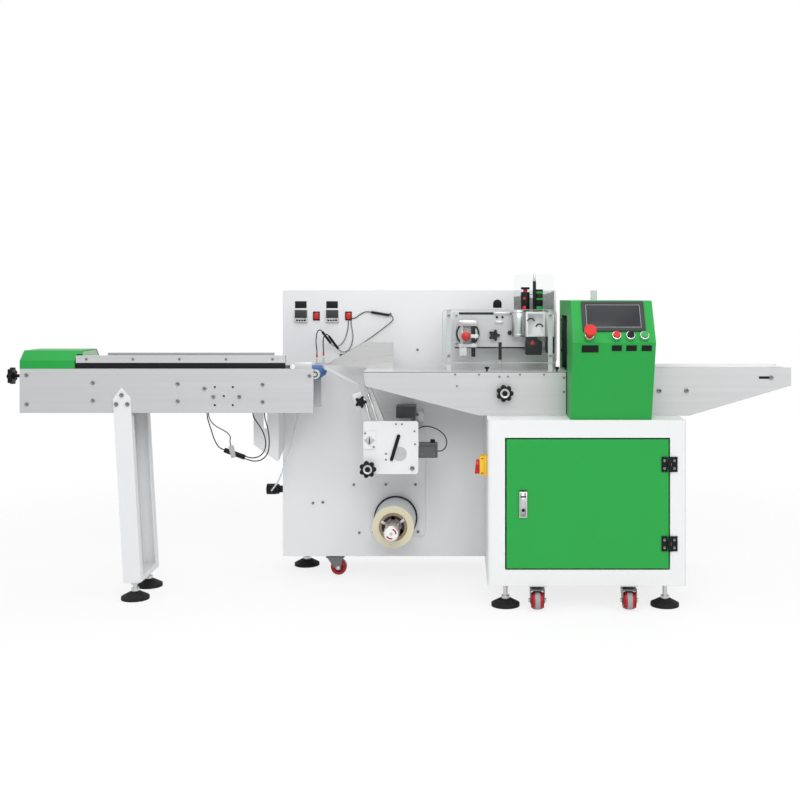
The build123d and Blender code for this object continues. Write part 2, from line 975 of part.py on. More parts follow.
# Infeed supports: a welded frame of two folded legs and a crossbar, which leans towards the machine,
# and the folded bracket that carries the infeed's inner end on the main plate
leg_axis = leaning_plane(x_leg_top, 0, leg_top_height, leg_lean)
leg_length = leg_run / math.cos(lean)
flange_top = (leg_top_height - infeed_bottom) / math.cos(lean) + leg_flange_gap
bracket_bottom = infeed_bottom - bracket_height
bracket_front = y_infeed_back - bracket_setback
with BuildPart() as infeed_supports:
    for y_out, inward in ((y_infeed - leg_sheet, 1), (y_infeed_back + leg_sheet, -1)):
        face = leg_axis.offset(-y_out)
        with BuildSketch(face):
            with BuildLine():
                Polyline(
                    (0, 0),
                    (leg_width / 2, -leg_peak),
                    (leg_width / 2, -leg_length),
                    (-leg_width / 2, -leg_length),
                    (-leg_width / 2, -leg_peak),
                    close=True,
                )
            make_face()
        extrude(amount=-inward * leg_sheet)
        with BuildSketch(face):
            for side in (-1, 1):
                with Locations((side * (leg_width - leg_sheet) / 2, -(flange_top + leg_length) / 2)):
                    Rectangle(leg_sheet, leg_length - flange_top)
        extrude(amount=-inward * leg_flange)
    with BuildSketch(leg_axis.offset(-(y_infeed_back + leg_sheet))):
        with Locations((0, -leg_length + leg_crossbar_height / 2)):
            Rectangle(leg_width, leg_crossbar_height)
    extrude(amount=infeed_width + 2 * leg_sheet)
    with BuildSketch(side_plane(x_plate)):
        with BuildLine():
            Polyline(
                (bracket_front, bracket_bottom),
                (y_plate, bracket_bottom + bracket_back_rise),
                (y_plate, infeed_bottom),
                (bracket_front, infeed_bottom),
                close=True,
            )
        make_face()
    extrude(amount=bracket_sheet)
    with BuildSketch(front_plane(bracket_front + bracket_sheet)):
        with BuildLine():
            Polyline(
                (x_plate, bracket_bottom),
                (x_plate, infeed_bottom),
                (x_plate - bracket_reach, infeed_bottom),
                (x_plate - bracket_reach, bracket_bottom + bracket_front_rise),
                close=True,
            )
        make_face()
        with Locations((x_plate - bracket_reach / 2, infeed_bottom - bracket_slot_drop)):
            SlotOverall(bracket_slot, bracket_slot_width, rotation=90, mode=Mode.SUBTRACT)
    extrude(amount=bracket_sheet)
    block(
        (x_plate - bracket_reach, x_plate + bracket_sheet),
        (bracket_front, y_infeed_back),
        (infeed_bottom - bracket_sheet, infeed_bottom),
    )
write(infeed_supports, "infeed_supports")


# Handwheels: lobed black wheels on a steel shaft that turns in its plate
def handwheel(plane):
    """A lobed wheel standing off a plane, with its shaft reaching back through the plate."""
    with BuildSketch(plane.offset(wheel_stand_off)) as lobes:
        Circle(wheel_radius - wheel_lobe_radius)
        with PolarLocations(wheel_radius - wheel_lobe_radius, wheel_lobes):
            Circle(wheel_lobe_radius)
    extrude(lobes.sketch, amount=wheel_thickness)
    rod(plane.offset(-side_plate), (0, 0), wheel_shaft_radius, side_plate + wheel_stand_off)
    rod(plane.offset(wheel_stand_off - wheel_hub_length), (0, 0), wheel_hub_radius, wheel_hub_length)


with BuildPart() as infeed_knob:
    knob_plane = Plane(
        origin=(x_infeed, y_flow, infeed_top - infeed_knob_drop), x_dir=(0, -1, 0), z_dir=(-1, 0, 0)
    )
    knob_shaft = knob_reach - wheel_stand_off - wheel_thickness
    handwheel(knob_plane.offset(knob_shaft))
    rod(knob_plane.offset(-side_plate), (0, 0), wheel_shaft_radius, knob_shaft)
write(infeed_knob, "infeed_knob")

with BuildPart() as centre_handwheel:
    handwheel(face_at(x_centre_wheel, y_track, z_centre_wheel))
write(centre_handwheel, "centre_handwheel")

# Reel column, on the main plate, with the bearing boss of the film shaft
x_column = x_centre + column_lead
y_column = y_plate - column_thickness
reel_at = (x_centre + reel_lead, reel_height)
with BuildPart() as reel_column:
    with BuildSketch(front_plane(y_plate)):
        with Locations((x_column + column_width / 2, column_bottom + column_height / 2)):
            RectangleRounded(column_width, column_height, column_corner)
    extrude(amount=column_thickness)
    rod(front_plane(y_column), reel_at, reel_bearing_radius, reel_bearing_length)
    rod(
        front_plane(y_plate - sheet),
        reel_at,
        reel_shaft_radius + running_clearance,
        column_thickness + reel_bearing_length,
        Mode.SUBTRACT,
    )
write(reel_column, "reel_column")

# Film shaft with its back flange, slotted core chucks and front cap, and the film wound on its core
y_flange = y_column - reel_bearing_length - reel_flange_gap
y_reel_back = y_flange - reel_flange
y_reel_front = y_reel_back - reel_width
y_shaft_tip = y_front + reel_front
y_shaft_end = y_plate - sheet - shaft_end_gap
chuck_radius = core_bore - seat_gap
with BuildPart() as reel_shaft:
    for y_chuck in (y_reel_back - chuck_inset, y_reel_front + chuck_inset + chuck_length):
        with BuildSketch(front_plane(y_chuck)):
            with Locations(reel_at):
                Circle(chuck_radius)
                with PolarLocations(chuck_radius, chuck_slots, start_angle=90):
                    Rectangle(chuck_radius, chuck_slot_width, mode=Mode.SUBTRACT)
        extrude(amount=chuck_length)
    rod(front_plane(y_shaft_end), reel_at, reel_shaft_radius, y_shaft_end - y_shaft_tip)
    rod(front_plane(y_flange), reel_at, reel_flange_radius, reel_flange)
    rod(front_plane(y_reel_front), reel_at, reel_cap_radius, y_reel_front - y_shaft_tip)
    cap_rim = reel_shaft.edges().filter_by(GeomType.CIRCLE).sort_by(Axis.Y)[0]
    chamfer(cap_rim, sheet)
write(reel_shaft, "reel_shaft")

with BuildPart() as film_roll:
    with BuildSketch(front_plane(y_reel_back)):
        with Locations(reel_at):
            Circle(reel_radius)
            Circle(core_radius + seat_gap, mode=Mode.SUBTRACT)
    extrude(amount=reel_width)
    with BuildSketch(front_plane(y_reel_back)):
        with Locations(reel_at):
            Circle(core_radius)
            Circle(core_bore, mode=Mode.SUBTRACT)
    extrude(amount=reel_width)
write(film_roll, "film_roll")

# Film feeding unit: a front plate on rollers and tie rods that stand out of the column
x_film = x_centre - film_plate_lead
y_film = y_front + film_plate_depth
film_centre = (x_film + film_plate_width / 2, film_plate_bottom + film_plate_height / 2)
film_wheel_at = (x_film + film_wheel_inset, film_plate_bottom + film_wheel_up)
film_plate_top = film_plate_bottom + film_plate_height
nip_roller_at = (film_centre[0] + nip_roller_lead, film_centre[1] - nip_roller_drop)
with BuildPart() as film_plate:
    with BuildSketch(front_plane(y_film + film_plate_sheet)):
        with Locations(film_centre):
            RectangleRounded(film_plate_width, film_plate_height, film_plate_corner)
        with Locations(film_wheel_at):
            Circle(wheel_bore, mode=Mode.SUBTRACT)
        with Locations(nip_roller_at):
            Circle(nip_roller_radius + seat_gap, mode=Mode.SUBTRACT)
    extrude(amount=film_plate_sheet)
    pad_top = film_plate_top - pointer_pad_drop
    block(
        (x_film, x_film + pointer_pad_width),
        (y_film - pointer_pad_proud, y_film),
        (pad_top - pointer_pad_height, pad_top),
    )
write(film_plate, "film_plate")

upper_rollers_z = film_centre[1] + film_roller_up
film_roller_places = (
    (film_centre[0] - film_roller_spread / 2, upper_rollers_z),
    (film_centre[0] + film_roller_spread / 2, upper_rollers_z - film_roller_step),
    (film_centre[0] - film_roller_spread / 2 + lower_roller_lead, upper_rollers_z - lower_roller_drop),
)
film_rod_x = x_film + film_plate_width - film_rod_inset
film_rod_places = (
    (film_rod_x, film_plate_bottom + film_rod_inset),
    (film_rod_x, film_plate_top - film_rod_inset),
)
with BuildPart() as film_rollers:
    film_span = y_column - y_film - film_plate_sheet
    for place in film_roller_places:
        rod(front_plane(y_column), place, film_roller_radius, film_span)
    for place in film_rod_places:
        rod(front_plane(y_column), place, film_rod_radius, film_span)
    rod(front_plane(y_column), nip_roller_at, nip_roller_radius, y_column - y_film)
    with BuildSketch(front_plane(y_column)):
        with BuildLine():
            cover_x = x_film + drive_cover_lead
            Polyline(
                (cover_x, film_plate_top),
                (cover_x + drive_cover_width, film_plate_top),
                (cover_x + drive_cover_top_width, film_plate_top + drive_cover_height),
                (cover_x + drive_cover_width - drive_cover_top_width, film_plate_top + drive_cover_height),
                close=True,
            )
        make_face()
    extrude(amount=drive_cover_depth)
write(film_rollers, "film_rollers")

with BuildPart() as film_handwheel:
    handwheel(face_at(film_wheel_at[0], y_film, film_wheel_at[1]))
write(film_handwheel, "film_handwheel")

# Photo-eye block on its bracket behind the film plate's right edge
x_eye = x_film + film_plate_width
y_eye = y_film + film_plate_sheet
z_eye = film_plate_bottom + eye_up
with BuildPart() as photo_eye:
    bracket_x = x_eye - eye_bracket_lap
    bracket_y = (y_eye, y_eye + eye_bracket_sheet)
    block((bracket_x, bracket_x + eye_bracket_length), bracket_y, (z_eye, z_eye + eye_bracket_height))
    block(
        (x_eye + eye_gap, x_eye + eye_gap + eye_width),
        (bracket_y[1], bracket_y[1] + eye_depth),
        (z_eye, z_eye + eye_height),
    )
write(photo_eye, "photo_eye")

# Former: rear wing on the bed, slanted film strips, and the arm that carries them on the film plate
arm_foot_z = film_plate_top - arm_lap
y_arm = y_film + film_plate_sheet
x_wing = x_centre + wing_base_length
with BuildPart() as former:
    wing_y = y_track_back - side_plate
    with BuildSketch(front_plane(wing_y)):
        with BuildLine():
            Polyline(
                (x_wing, track_top),
                (x_wing, track_top + wing_height),
                (x_wing - wing_top_length, track_top + wing_height),
                (x_centre - wing_tip_reach, track_top + wing_tip_rise),
                (x_centre, track_top),
                close=True,
            )
        make_face()
    extrude(amount=wing_sheet)
    for lead, length, depth in ((arm_lead, arm_length, arm_sheet), (profile_lead, profile_length, profile_depth)):
        with BuildSketch(leaning_plane(x_film + lead, y_arm, arm_foot_z, arm_lean)):
            with Locations((0, length / 2)):
                Rectangle(arm_width, length)
        extrude(amount=-depth)
    strip_foot = leaning_plane(x_film + profile_lead, y_arm, arm_foot_z, arm_lean).from_local_coords(
        (0, profile_length, 0)
    )
    x_tip_strip = x_centre - wing_tip_reach
    z_tip_strip = track_top + wing_tip_rise - former_strip
    strip_slope = math.atan2(z_tip_strip - strip_foot.Z, strip_foot.X - x_tip_strip)
    strip_length = math.hypot(z_tip_strip - strip_foot.Z, strip_foot.X - x_tip_strip)
    strip_plane = leaning_plane(strip_foot.X, y_arm, strip_foot.Z, 90 - math.degrees(strip_slope))
    with BuildSketch(strip_plane):
        with Locations((former_strip / 2, strip_length / 2)):
            Rectangle(former_strip, strip_length)
    extrude(amount=-former_strip_width)
write(former, "former")


# Clamp knobs with five lobes: one on the former arm, one on the fin-seal plate
def star_knob(plane):
    """A five-lobed knob on a short neck, seated on a plane."""
    with BuildSketch(plane.offset(star_neck)) as star:
        Circle(star_radius - star_lobe_radius - star_web)
        with PolarLocations(star_radius - star_lobe_radius, star_lobes):
            Circle(star_lobe_radius)
    extrude(star.sketch, amount=star_thickness)
    rod(plane, (0, 0), star_radius / 3, star_neck)


x_fin = x_centre + fin_plate_lead
y_fin = y_plate - fin_plate_standoff
knob_along = arm_length - arm_width / 2
arm_knob_at = leaning_plane(x_film + arm_lead, y_arm, arm_foot_z, arm_lean).from_local_coords((0, knob_along, 0))
with BuildPart() as clamp_knobs:
    star_knob(face_at(arm_knob_at.X, y_arm, arm_knob_at.Z))
    star_knob(face_at(x_fin + fin_knob_lead, y_fin, track_top + fin_knob_rise))
    with BuildSketch(front_plane(y_film)):
        with Locations((film_centre[0] + tension_bar_lead, film_centre[1])):
            SlotOverall(tension_bar_length, tension_bar_width, rotation=90 - tension_bar_lean)
    extrude(amount=tension_bar_thickness)
write(clamp_knobs, "clamp_knobs")

# Fin-seal unit: cover plate on spacers from the main plate, which carries the pressure stand,
# the posts of the front guard, and the end-seal housing's rear post
x_stand = x_centre + fin_stand_lead
y_stand = y_fin - fin_stand_reach
x_lever = x_stand - lever_lead
y_lever = y_stand - lever_reach
fin_plate_bottom = track_top + fin_plate_lift
fin_plate_top = fin_plate_bottom + fin_plate_height
x_guard = x_centre + guard_lead
y_guard = y_track + side_plate + guard_sheet
guard_bottom = track_top + guard_lift
guard_top = guard_bottom + guard_height
with BuildPart() as fin_unit:
    block((x_fin, x_fin + fin_plate_width), (y_fin, y_fin + side_plate), (fin_plate_bottom, fin_plate_top))
    for x in (x_fin + fin_spacer_inset, x_fin + fin_plate_width - fin_spacer_inset):
        spacer_at = (x, fin_plate_top - fin_spacer_inset)
        rod(front_plane(y_plate), spacer_at, fin_spacer_radius, y_plate - y_fin - side_plate)
    rod(level(track_top), (x_fin + fin_post_lead, y_fin + side_plate / 2), fin_post_radius, fin_plate_lift)
    stand_y = (y_stand - stand_depth / 2, y_stand + stand_depth / 2)
    for width, rise, height in (
        (stand_cap_width, stand_cap_rise, stand_cap_height),
        (stand_foot_width, stand_foot_rise, stand_foot_height),
    ):
        block((x_stand - width / 2, x_stand + width / 2), stand_y, (track_top + rise, track_top + rise + height))
    for side in (-1, 1):
        post_at = (x_stand + side * stand_post_spread / 2, y_stand)
        post_bottom = track_top + stand_foot_rise - stand_leg_length
        rod(level(post_bottom), post_at, stand_post_radius, track_top + stand_cap_rise - post_bottom)
    wheel_at = (x_stand, track_top + stand_wheel_rise)
    rod(front_plane(y_fin), wheel_at, stand_wheel_radius, stand_wheel_width)
    ear_inner = lever_hub_width / 2 + lever_ear_gap
    for side in (-1, 1):
        ear_x = sorted((x_lever + side * ear_inner, x_lever + side * (ear_inner + lever_ear_sheet)))
        block(
            ear_x,
            (y_lever - lever_ear_end, y_fin),
            (lever_pivot_height - lever_ear_height / 2, lever_pivot_height + lever_ear_height / 2),
        )
    pin_half = ear_inner + lever_ear_sheet
    rod(side_plane(x_lever - pin_half), (y_lever, lever_pivot_height), lever_pin_radius, 2 * pin_half)
    for x in (x_guard + guard_post_inset, x_guard + guard_length - guard_post_inset):
        block(
            (x - guard_post_width / 2, x + guard_post_width / 2),
            (y_guard, y_guard + guard_post_depth),
            (track_top, guard_top),
        )
    x_end_post = x_console + end_post_lead
    y_end_post = y_plate + end_post_setback
    block(
        (x_end_post, x_end_post + end_post_width),
        (y_end_post, y_end_post + end_post_width),
        (cabinet_top, main_plate_top),
    )
write(fin_unit, "fin_unit")

with BuildPart() as fin_lever:
    hub_side = side_plane(x_lever - lever_hub_width / 2)
    rod(hub_side, (y_lever, lever_pivot_height), lever_hub_radius, lever_hub_width)
    rod(front_plane(y_lever), (x_lever, lever_pivot_height), lever_radius, lever_length)
    with Locations((x_lever, y_lever - lever_length, lever_pivot_height)):
        Sphere(lever_ball_radius)
    pin_bore = lever_pin_radius + running_clearance
    rod(hub_side, (y_lever, lever_pivot_height), pin_bore, lever_hub_width, Mode.SUBTRACT)
write(fin_lever, "fin_lever")

# Date coder: housing, print head, ribbon drum, feed motor and tower, on an arm from the cover plate
x_coder = x_centre + coder_lead
coder_bottom = track_top + coder_rise
coder_top = coder_bottom + coder_height
with BuildPart() as coder:
    coder_y = (y_stand - coder_depth / 2, y_stand + coder_depth / 2)
    block((x_coder, x_coder + coder_width), coder_y, (coder_bottom, coder_top))
    with BuildSketch(front_plane(y_stand + coder_head_depth / 2)):
        with BuildLine():
            Polyline(
                (x_coder, coder_bottom),
                (x_coder, coder_bottom - coder_head_height),
                (x_coder + coder_head_width, coder_bottom - coder_head_height),
                (x_coder + coder_head_width, coder_bottom - coder_head_slope),
                (x_coder + coder_head_width - coder_head_slope, coder_bottom),
                close=True,
            )
        make_face()
    extrude(amount=coder_head_depth)
    rod(level(coder_bottom), (x_coder - ribbon_lead, y_stand), ribbon_radius, ribbon_height)
    arm_low = track_top + coder_arm_rise
    arm_x = (x_coder + coder_width / 2 - coder_arm / 2, x_coder + coder_width / 2 + coder_arm / 2)
    block(arm_x, (y_stand, y_fin), (arm_low, arm_low + coder_arm))
    for radius, lead, height in zip(tower_radii, tower_leads, tower_heights):
        rod(level(coder_top), (x_coder + lead, y_stand), radius, height)
    rod(level(coder_top), (x_coder + tower_mast_lead, y_stand), tower_mast_radius, tower_mast_height)
    motor_x = x_coder + coder_motor_lead
    motor_z = track_top + coder_motor_rise
    block(
        (motor_x, motor_x + coder_motor_width),
        (y_stand, y_fin),
        (motor_z, motor_z + coder_motor_height),
    )
write(coder, "coder")

# Clear guards: a front sheet on its two posts, and a tall sheet on the main plate
x_rear_guard = x_centre + rear_guard_lead
with BuildPart() as guard_panels:
    with BuildSketch(front_plane(y_guard)):
        with Locations((x_guard + guard_length / 2, guard_bottom + guard_height / 2)):
            RectangleRounded(guard_length, guard_height, guard_corner)
    extrude(amount=guard_sheet)
    block(
        (x_rear_guard, x_rear_guard + rear_guard_length),
        (y_plate - guard_sheet, y_plate),
        (track_top + rear_guard_lift, track_top + rear_guard_rise),
    )
    spacer_hole = (x_fin + fin_plate_width - fin_spacer_inset, fin_plate_top - fin_spacer_inset)
    rod(front_plane(y_plate), spacer_hole, fin_spacer_radius + guard_sheet, guard_sheet, Mode.SUBTRACT)
write(guard_panels, "guard_panels")

# Console: end-seal housing with the control slope; the product passes through it in a tunnel
z_nose = cabinet_top + console_nose_height
z_console = cabinet_top + console_height
y_nose = y_front - console_overhang
y_slope_top = y_nose + slope_setback
y_console_back = y_plate - plate_end_gap
slope_plane = Plane(
    origin=(x_console, y_nose, z_nose), x_dir=(1, 0, 0), z_dir=(0, -math.cos(slope), math.sin(slope))
)
button_places = [(button_lead + step * button_pitch, button_up) for step in range(3)]
estop_place = (estop_lead, estop_up)
button_bore = button_radius + slide_clearance
with BuildPart() as console_housing:
    with BuildSketch(side_plane(x_console)):
        with BuildLine():
            Polyline(
                (y_front + console_foot_inset, cabinet_top),
                (y_nose, z_nose),
                (y_slope_top, z_console),
                (y_console_back, z_console),
                (y_console_back, cabinet_top),
                close=True,
            )
        make_face()
    extrude(amount=console_width)
    offset(amount=-sheet, openings=console_housing.faces().sort_by(Axis.Z)[0])
    block(
        (x_console, x_discharge),
        (y_track, y_track_back),
        (track_top + tunnel_lift, z_console - tunnel_top_margin),
        mode=Mode.SUBTRACT,
    )
    for place in button_places + [estop_place]:
        rod(slope_plane.offset(-3 * sheet), place, button_bore, 4 * sheet, Mode.SUBTRACT)
write(console_housing, "console_housing")

for name, place in zip(("red", "black", "green"), button_places):
    with BuildPart() as button:
        rod(slope_plane.offset(-button_depth), place, button_radius, button_depth + collar_height + button_proud)
    write(button, f"button_{name}")

with BuildPart() as estop_head:
    rod(slope_plane.offset(-button_depth), estop_place, button_radius, button_depth + estop_height)
    rod(slope_plane.offset(estop_height - estop_head_height), estop_place, estop_head_radius, estop_head_height)
write(estop_head, "estop_head")

# Main switch handle on the cabinet's left wall: a boss with a grip that hangs down and deepens
with BuildPart() as switch_handle:
    x_grip = x_cabinet - switch_plate_thickness - switch_body_depth - seat_gap
    rod(side_plane(x_grip - switch_boss_depth), switch_at, switch_boss_radius, switch_boss_depth)
    with BuildSketch(front_plane(switch_at[0] + switch_grip_width / 2)):
        with BuildLine():
            Polyline(
                (x_grip, switch_height + switch_boss_radius),
                (x_grip - switch_boss_depth, switch_height + switch_boss_radius),
                (x_grip - switch_grip_depth, switch_height - switch_grip),
                (x_grip, switch_height - switch_grip),
                close=True,
            )
        make_face()
    extrude(amount=switch_grip_width)
    rod(side_plane(x_grip), switch_at, switch_pin_radius, x_cabinet + sheet - x_grip)
write(switch_handle, "switch_handle")

# Small fittings on the panels: screen, controllers, rockers, button collars, main switch plate,
# cord glands and the regulator on the housing's left side
controller_height = main_plate_top - controller_drop
rocker_bottom = controller_height - rocker_height / 2
screen_height = slope_length - screen_top_margin - control_band
hose_gland = (x_plate + hose_gland_lead, infeed_bottom + hose_gland_rise)
pen_gland = (x_plate + pen_gland_lead, track_top + pen_gland_rise)
with BuildPart() as panel_fittings:
    with BuildSketch(slope_plane):
        with Locations((screen_lead + screen_width / 2, control_band + screen_height / 2)):
            RectangleRounded(screen_width, screen_height, screen_corner)
    extrude(amount=screen_thickness)
    for lead in controller_leads:
        block(
            (x_plate + lead, x_plate + lead + controller),
            (y_plate - controller_proud, y_plate),
            (controller_height - controller / 2, controller_height + controller / 2),
        )
    for lead in rocker_leads:
        block(
            (x_plate + lead, x_plate + lead + rocker_width),
            (y_plate - rocker_proud, y_plate),
            (rocker_bottom, rocker_bottom + rocker_height),
        )
    for place in button_places + [estop_place]:
        with BuildSketch(slope_plane):
            with Locations(place):
                Circle(collar_radius)
                Circle(button_bore, mode=Mode.SUBTRACT)
        extrude(amount=collar_height)
    for x, side, depth in (
        (x_cabinet, switch_plate, switch_plate_thickness),
        (x_cabinet - switch_plate_thickness, switch_body, switch_body_depth),
    ):
        with BuildSketch(side_plane(x)):
            with Locations(switch_at):
                RectangleRounded(side, side, switch_plate_corner)
                Circle(switch_pin_radius + running_clearance, mode=Mode.SUBTRACT)
        extrude(amount=-depth)
    for gland in (hose_gland, pen_gland):
        rod(front_plane(y_plate), gland, gland_radius, gland_height)
    regulator_at = (y_housing + regulator_setback, regulator_height)
    regulator_neck_end = side_plane(x_plate - regulator_neck)
    rod(regulator_neck_end, regulator_at, regulator_neck_radius, regulator_neck)
    rod(regulator_neck_end.offset(-regulator_length), regulator_at, regulator_radius, regulator_length)
    hose_port = (x_plate - regulator_neck - hose_port_lead, regulator_height)
    rod(front_plane(regulator_at[0]), hose_port, hose_port_radius, hose_port_reach)
write(panel_fittings, "panel_fittings")


# Cords: round leads along straight runs joined by arcs as large as the runs allow
def cord_tube(route, diameter):
    """A cord along its route, in the active part; returns the volume that its length should have."""
    radii = []
    for before, here, after in zip(route, route[1:], route[2:]):
        run_in = Vector(here) - Vector(before)
        run_out = Vector(after) - Vector(here)
        half_turn = math.radians(run_in.get_angle(run_out)) / 2
        radii.append(arc_share * min(run_in.length, run_out.length) / math.tan(half_turn))
    with BuildLine(mode=Mode.PRIVATE) as path:
        FilletPolyline(*route, radius=radii)
    line = path.wire()
    with BuildSketch(Plane(origin=line @ 0, z_dir=line % 0)) as section:
        Circle(diameter / 2)
    sweep(section.sketch, path=line)
    print(f"smallest radius {min(radii):.1f} mm on {diameter} mm, length {line.length:.0f} mm")
    return math.pi * diameter**2 / 4 * line.length


def write_cord(name, route, diameter):
    with BuildPart() as cord:
        expected = cord_tube(route, diameter)
    print(f"{name}: volume {cord.part.volume:.0f} of {expected:.0f}")
    write(cord, name)


def from_anchor(anchor, *offsets):
    """Route points given from one place, in the object's frame."""
    return [tuple(Vector(anchor) + Vector(offset)) for offset in offsets]


# Sensor leads under the infeed: two from the tray to a pair of connectors, two back up to it
under_tray = (x_infeed + tray_lead, y_flow - tray_cord_reach, infeed_bottom)
sensor_lead_outer_route = from_anchor(
    under_tray,
    (47.5, 0, 0),
    (47.5, 0, -15),
    (54.5, 0, -39),
    (62.5, 0, -63),
    (69.5, 0, -87),
    (79.5, 0, -109),
    (91.5, 0, -125.2),
    (107.5, 0, -131),
)
write_cord("sensor_lead_outer", sensor_lead_outer_route, lead_diameter)

sensor_lead_inner_route = from_anchor(
    under_tray,
    (55.5, -12.3, 0),
    (55.5, -12.3, -14),
    (65.5, -12.3, -34),
    (82.5, -12.3, -49),
    (102.5, -12.3, -59),
    (121.5, -12.3, -70),
    (132.5, -12.3, -84),
    (128.5, -12.3, -99.5),
    (132.5, -12.3, -115),
)
write_cord("sensor_lead_inner", sensor_lead_inner_route, lead_diameter)

loop_lead_upper_route = from_anchor(
    under_tray,
    (180.28, 0, -153.23),
    (194.38, 0, -158.36),
    (213.5, 0, -159),
    (232.5, 0, -152),
    (246.5, 0, -136),
    (251.5, 0, -114),
    (249.5, 0, -91),
    (241.5, 0, -68),
    (228.5, 0, -46),
    (215.5, 0, -28),
    (206.5, 0, -14),
    (206.5, 0, 0),
)
write_cord("loop_lead_upper", loop_lead_upper_route, lead_diameter)

loop_lead_lower_route = from_anchor(
    under_tray,
    (177.55, 0, -160.75),
    (191.64, 0, -165.88),
    (212.5, 0, -171),
    (234.5, 0, -167),
    (252.5, 0, -153),
    (261.5, 0, -132),
    (263.5, 0, -108),
    (262.5, 0, -83),
    (258.5, 0, -59),
    (252.5, 0, -36),
    (246.5, 0, -15),
    (246.5, 0, 0),
)
write_cord("loop_lead_lower", loop_lead_lower_route, lead_diameter)

# Heater wires: up from two rods beside the transfer belt, over into sleeves, and on to a rocker
on_plate = (x_plate, y_plate, track_top)
heater_wire_1_route = from_anchor(
    on_plate,
    (137.5, -87, 52),
    (137.5, -87, 64),
    (135, -87, 80),
    (134, -87, 96),
    (135, -87, 112),
    (137.52, -87, 126.41),
    (140.41, -82.92, 134.13),
    (145.27, -76.05, 137.87),
    (150.51, -68.66, 136.27),
    (154.4, -63.17, 130),
)
write_cord("heater_wire_1", heater_wire_1_route, lead_diameter)

heater_wire_2_route = from_anchor(
    on_plate,
    (161.5, -87, 58),
    (161.5, -87, 70),
    (160, -87, 84),
    (160.2, -87, 98),
    (161.52, -87, 110.41),
    (164.41, -82.92, 118.13),
    (169.27, -76.05, 121.87),
    (174.51, -68.66, 120.27),
    (178.4, -63.17, 114),
)
write_cord("heater_wire_2", heater_wire_2_route, lead_diameter)

heater_lead_1_route = from_anchor(
    on_plate,
    (180.44, -26.4, 87.47),
    (186.32, -18.1, 77.86),
    (200.5, -14.97, 73),
    (215.5, -11.97, 80),
    (227.5, -7.97, 94),
    (235.5, -4.47, 113),
    (240.5, -2.77, 134),
    (243.5, -2.57, 153),
    (243.5, -2.57, 170.5),
)
write_cord("heater_lead_1", heater_lead_1_route, thin_lead_diameter)

heater_lead_2_route = from_anchor(
    on_plate,
    (206.96, -22.85, 67.35),
    (212.84, -14.54, 57.75),
    (226.5, -10.97, 53),
    (241.5, -7.97, 58),
    (252.5, -4.97, 73),
    (258.5, -2.97, 93),
    (260.5, -2.57, 115),
    (257.5, -2.57, 136),
    (253.5, -2.57, 154),
    (253.5, -2.57, 170.5),
)
write_cord("heater_lead_2", heater_lead_2_route, thin_lead_diameter)

# Marking pen: one lead from the rocker, one down into a gland in the main plate
pen_lead_upper_route = from_anchor(
    on_plate,
    (256, -2.57, 178),
    (268.5, -2.57, 178),
    (280, -2.97, 187.5),
    (293.5, -4.17, 197),
    (311, -5.77, 204.2),
    (327.5, -6.47, 201.4),
)
write_cord("pen_lead_upper", pen_lead_upper_route, thin_lead_diameter)

pen_lead_lower_route = from_anchor(
    on_plate,
    (395.5, -8.97, 190),
    (403.5, -9.27, 188.7),
    (409.5, -9.57, 182),
    (409, -9.87, 173),
    (403, -10.17, 165),
    (391.5, -10.57, 155),
    (374.5, -11.17, 142.5),
    (352.5, -11.97, 125),
    (324.5, -12.97, 105),
    (292.5, -14.97, 83.5),
    (262.5, -21.97, 66),
    (242.5, -27.97, 55),
    (228.5, -30.47, 47),
    (219.5, -26.97, 42.5),
    (216, -18.47, 41),
    (216, -6, 41),
)
write_cord("pen_lead_lower", pen_lead_lower_route, thin_lead_diameter)

# Photo-eye lead, round behind the film plate and into the column
on_eye = (x_eye + eye_gap + eye_width, y_eye + eye_bracket_sheet + eye_depth / 2, z_eye + eye_cord_rise)
eye_lead_route = from_anchor(
    on_eye,
    (0, 0, 0),
    (11.5, 0, 0),
    (23.5, 0.03, 6),
    (31.5, 1.03, 20),
    (32.5, 3.03, 38),
    (24.5, 7.03, 56),
    (8.5, 13.03, 70),
    (-12.5, 21.03, 80),
    (-35.5, 30.03, 85),
    (-55.5, 40.03, 82),
    (-69.5, 54.03, 73),
    (-77.5, 74.03, 66),
    (-82.5, 97.03, 61),
    (-84.5, 122.03, 58),
    (-85.5, 146.03, 57),
    (-85.5, 166.03, 56.5),
    (-85.5, 184, 56.5),
)
write_cord("eye_lead", eye_lead_route, lead_diameter)

# Air hose, from its gland in the main plate down to the regulator
by_bracket = (x_plate, y_plate, infeed_bottom)
air_hose_route = from_anchor(
    by_bracket,
    (60, -6, 55),
    (60, -21.97, 55),
    (60.5, -35.97, 47.5),
    (61.5, -44.97, 32),
    (62.5, -48.97, 10),
    (62, -51.97, -15),
    (60.5, -55.97, -45),
    (56.5, -59.97, -75),
    (49.5, -63.97, -107),
    (40.5, -66.97, -139),
    (30.5, -68.97, -171),
    (20.5, -68.97, -203),
    (10.5, -65.97, -233),
    (-0.5, -58.97, -261),
    (-13.5, -47.97, -284),
    (-26.5, -35.97, -301),
    (-36.5, -23.97, -313),
    (-41, -10.97, -319),
    (-41, 4, -319),
)
write_cord("air_hose", air_hose_route, hose_diameter)

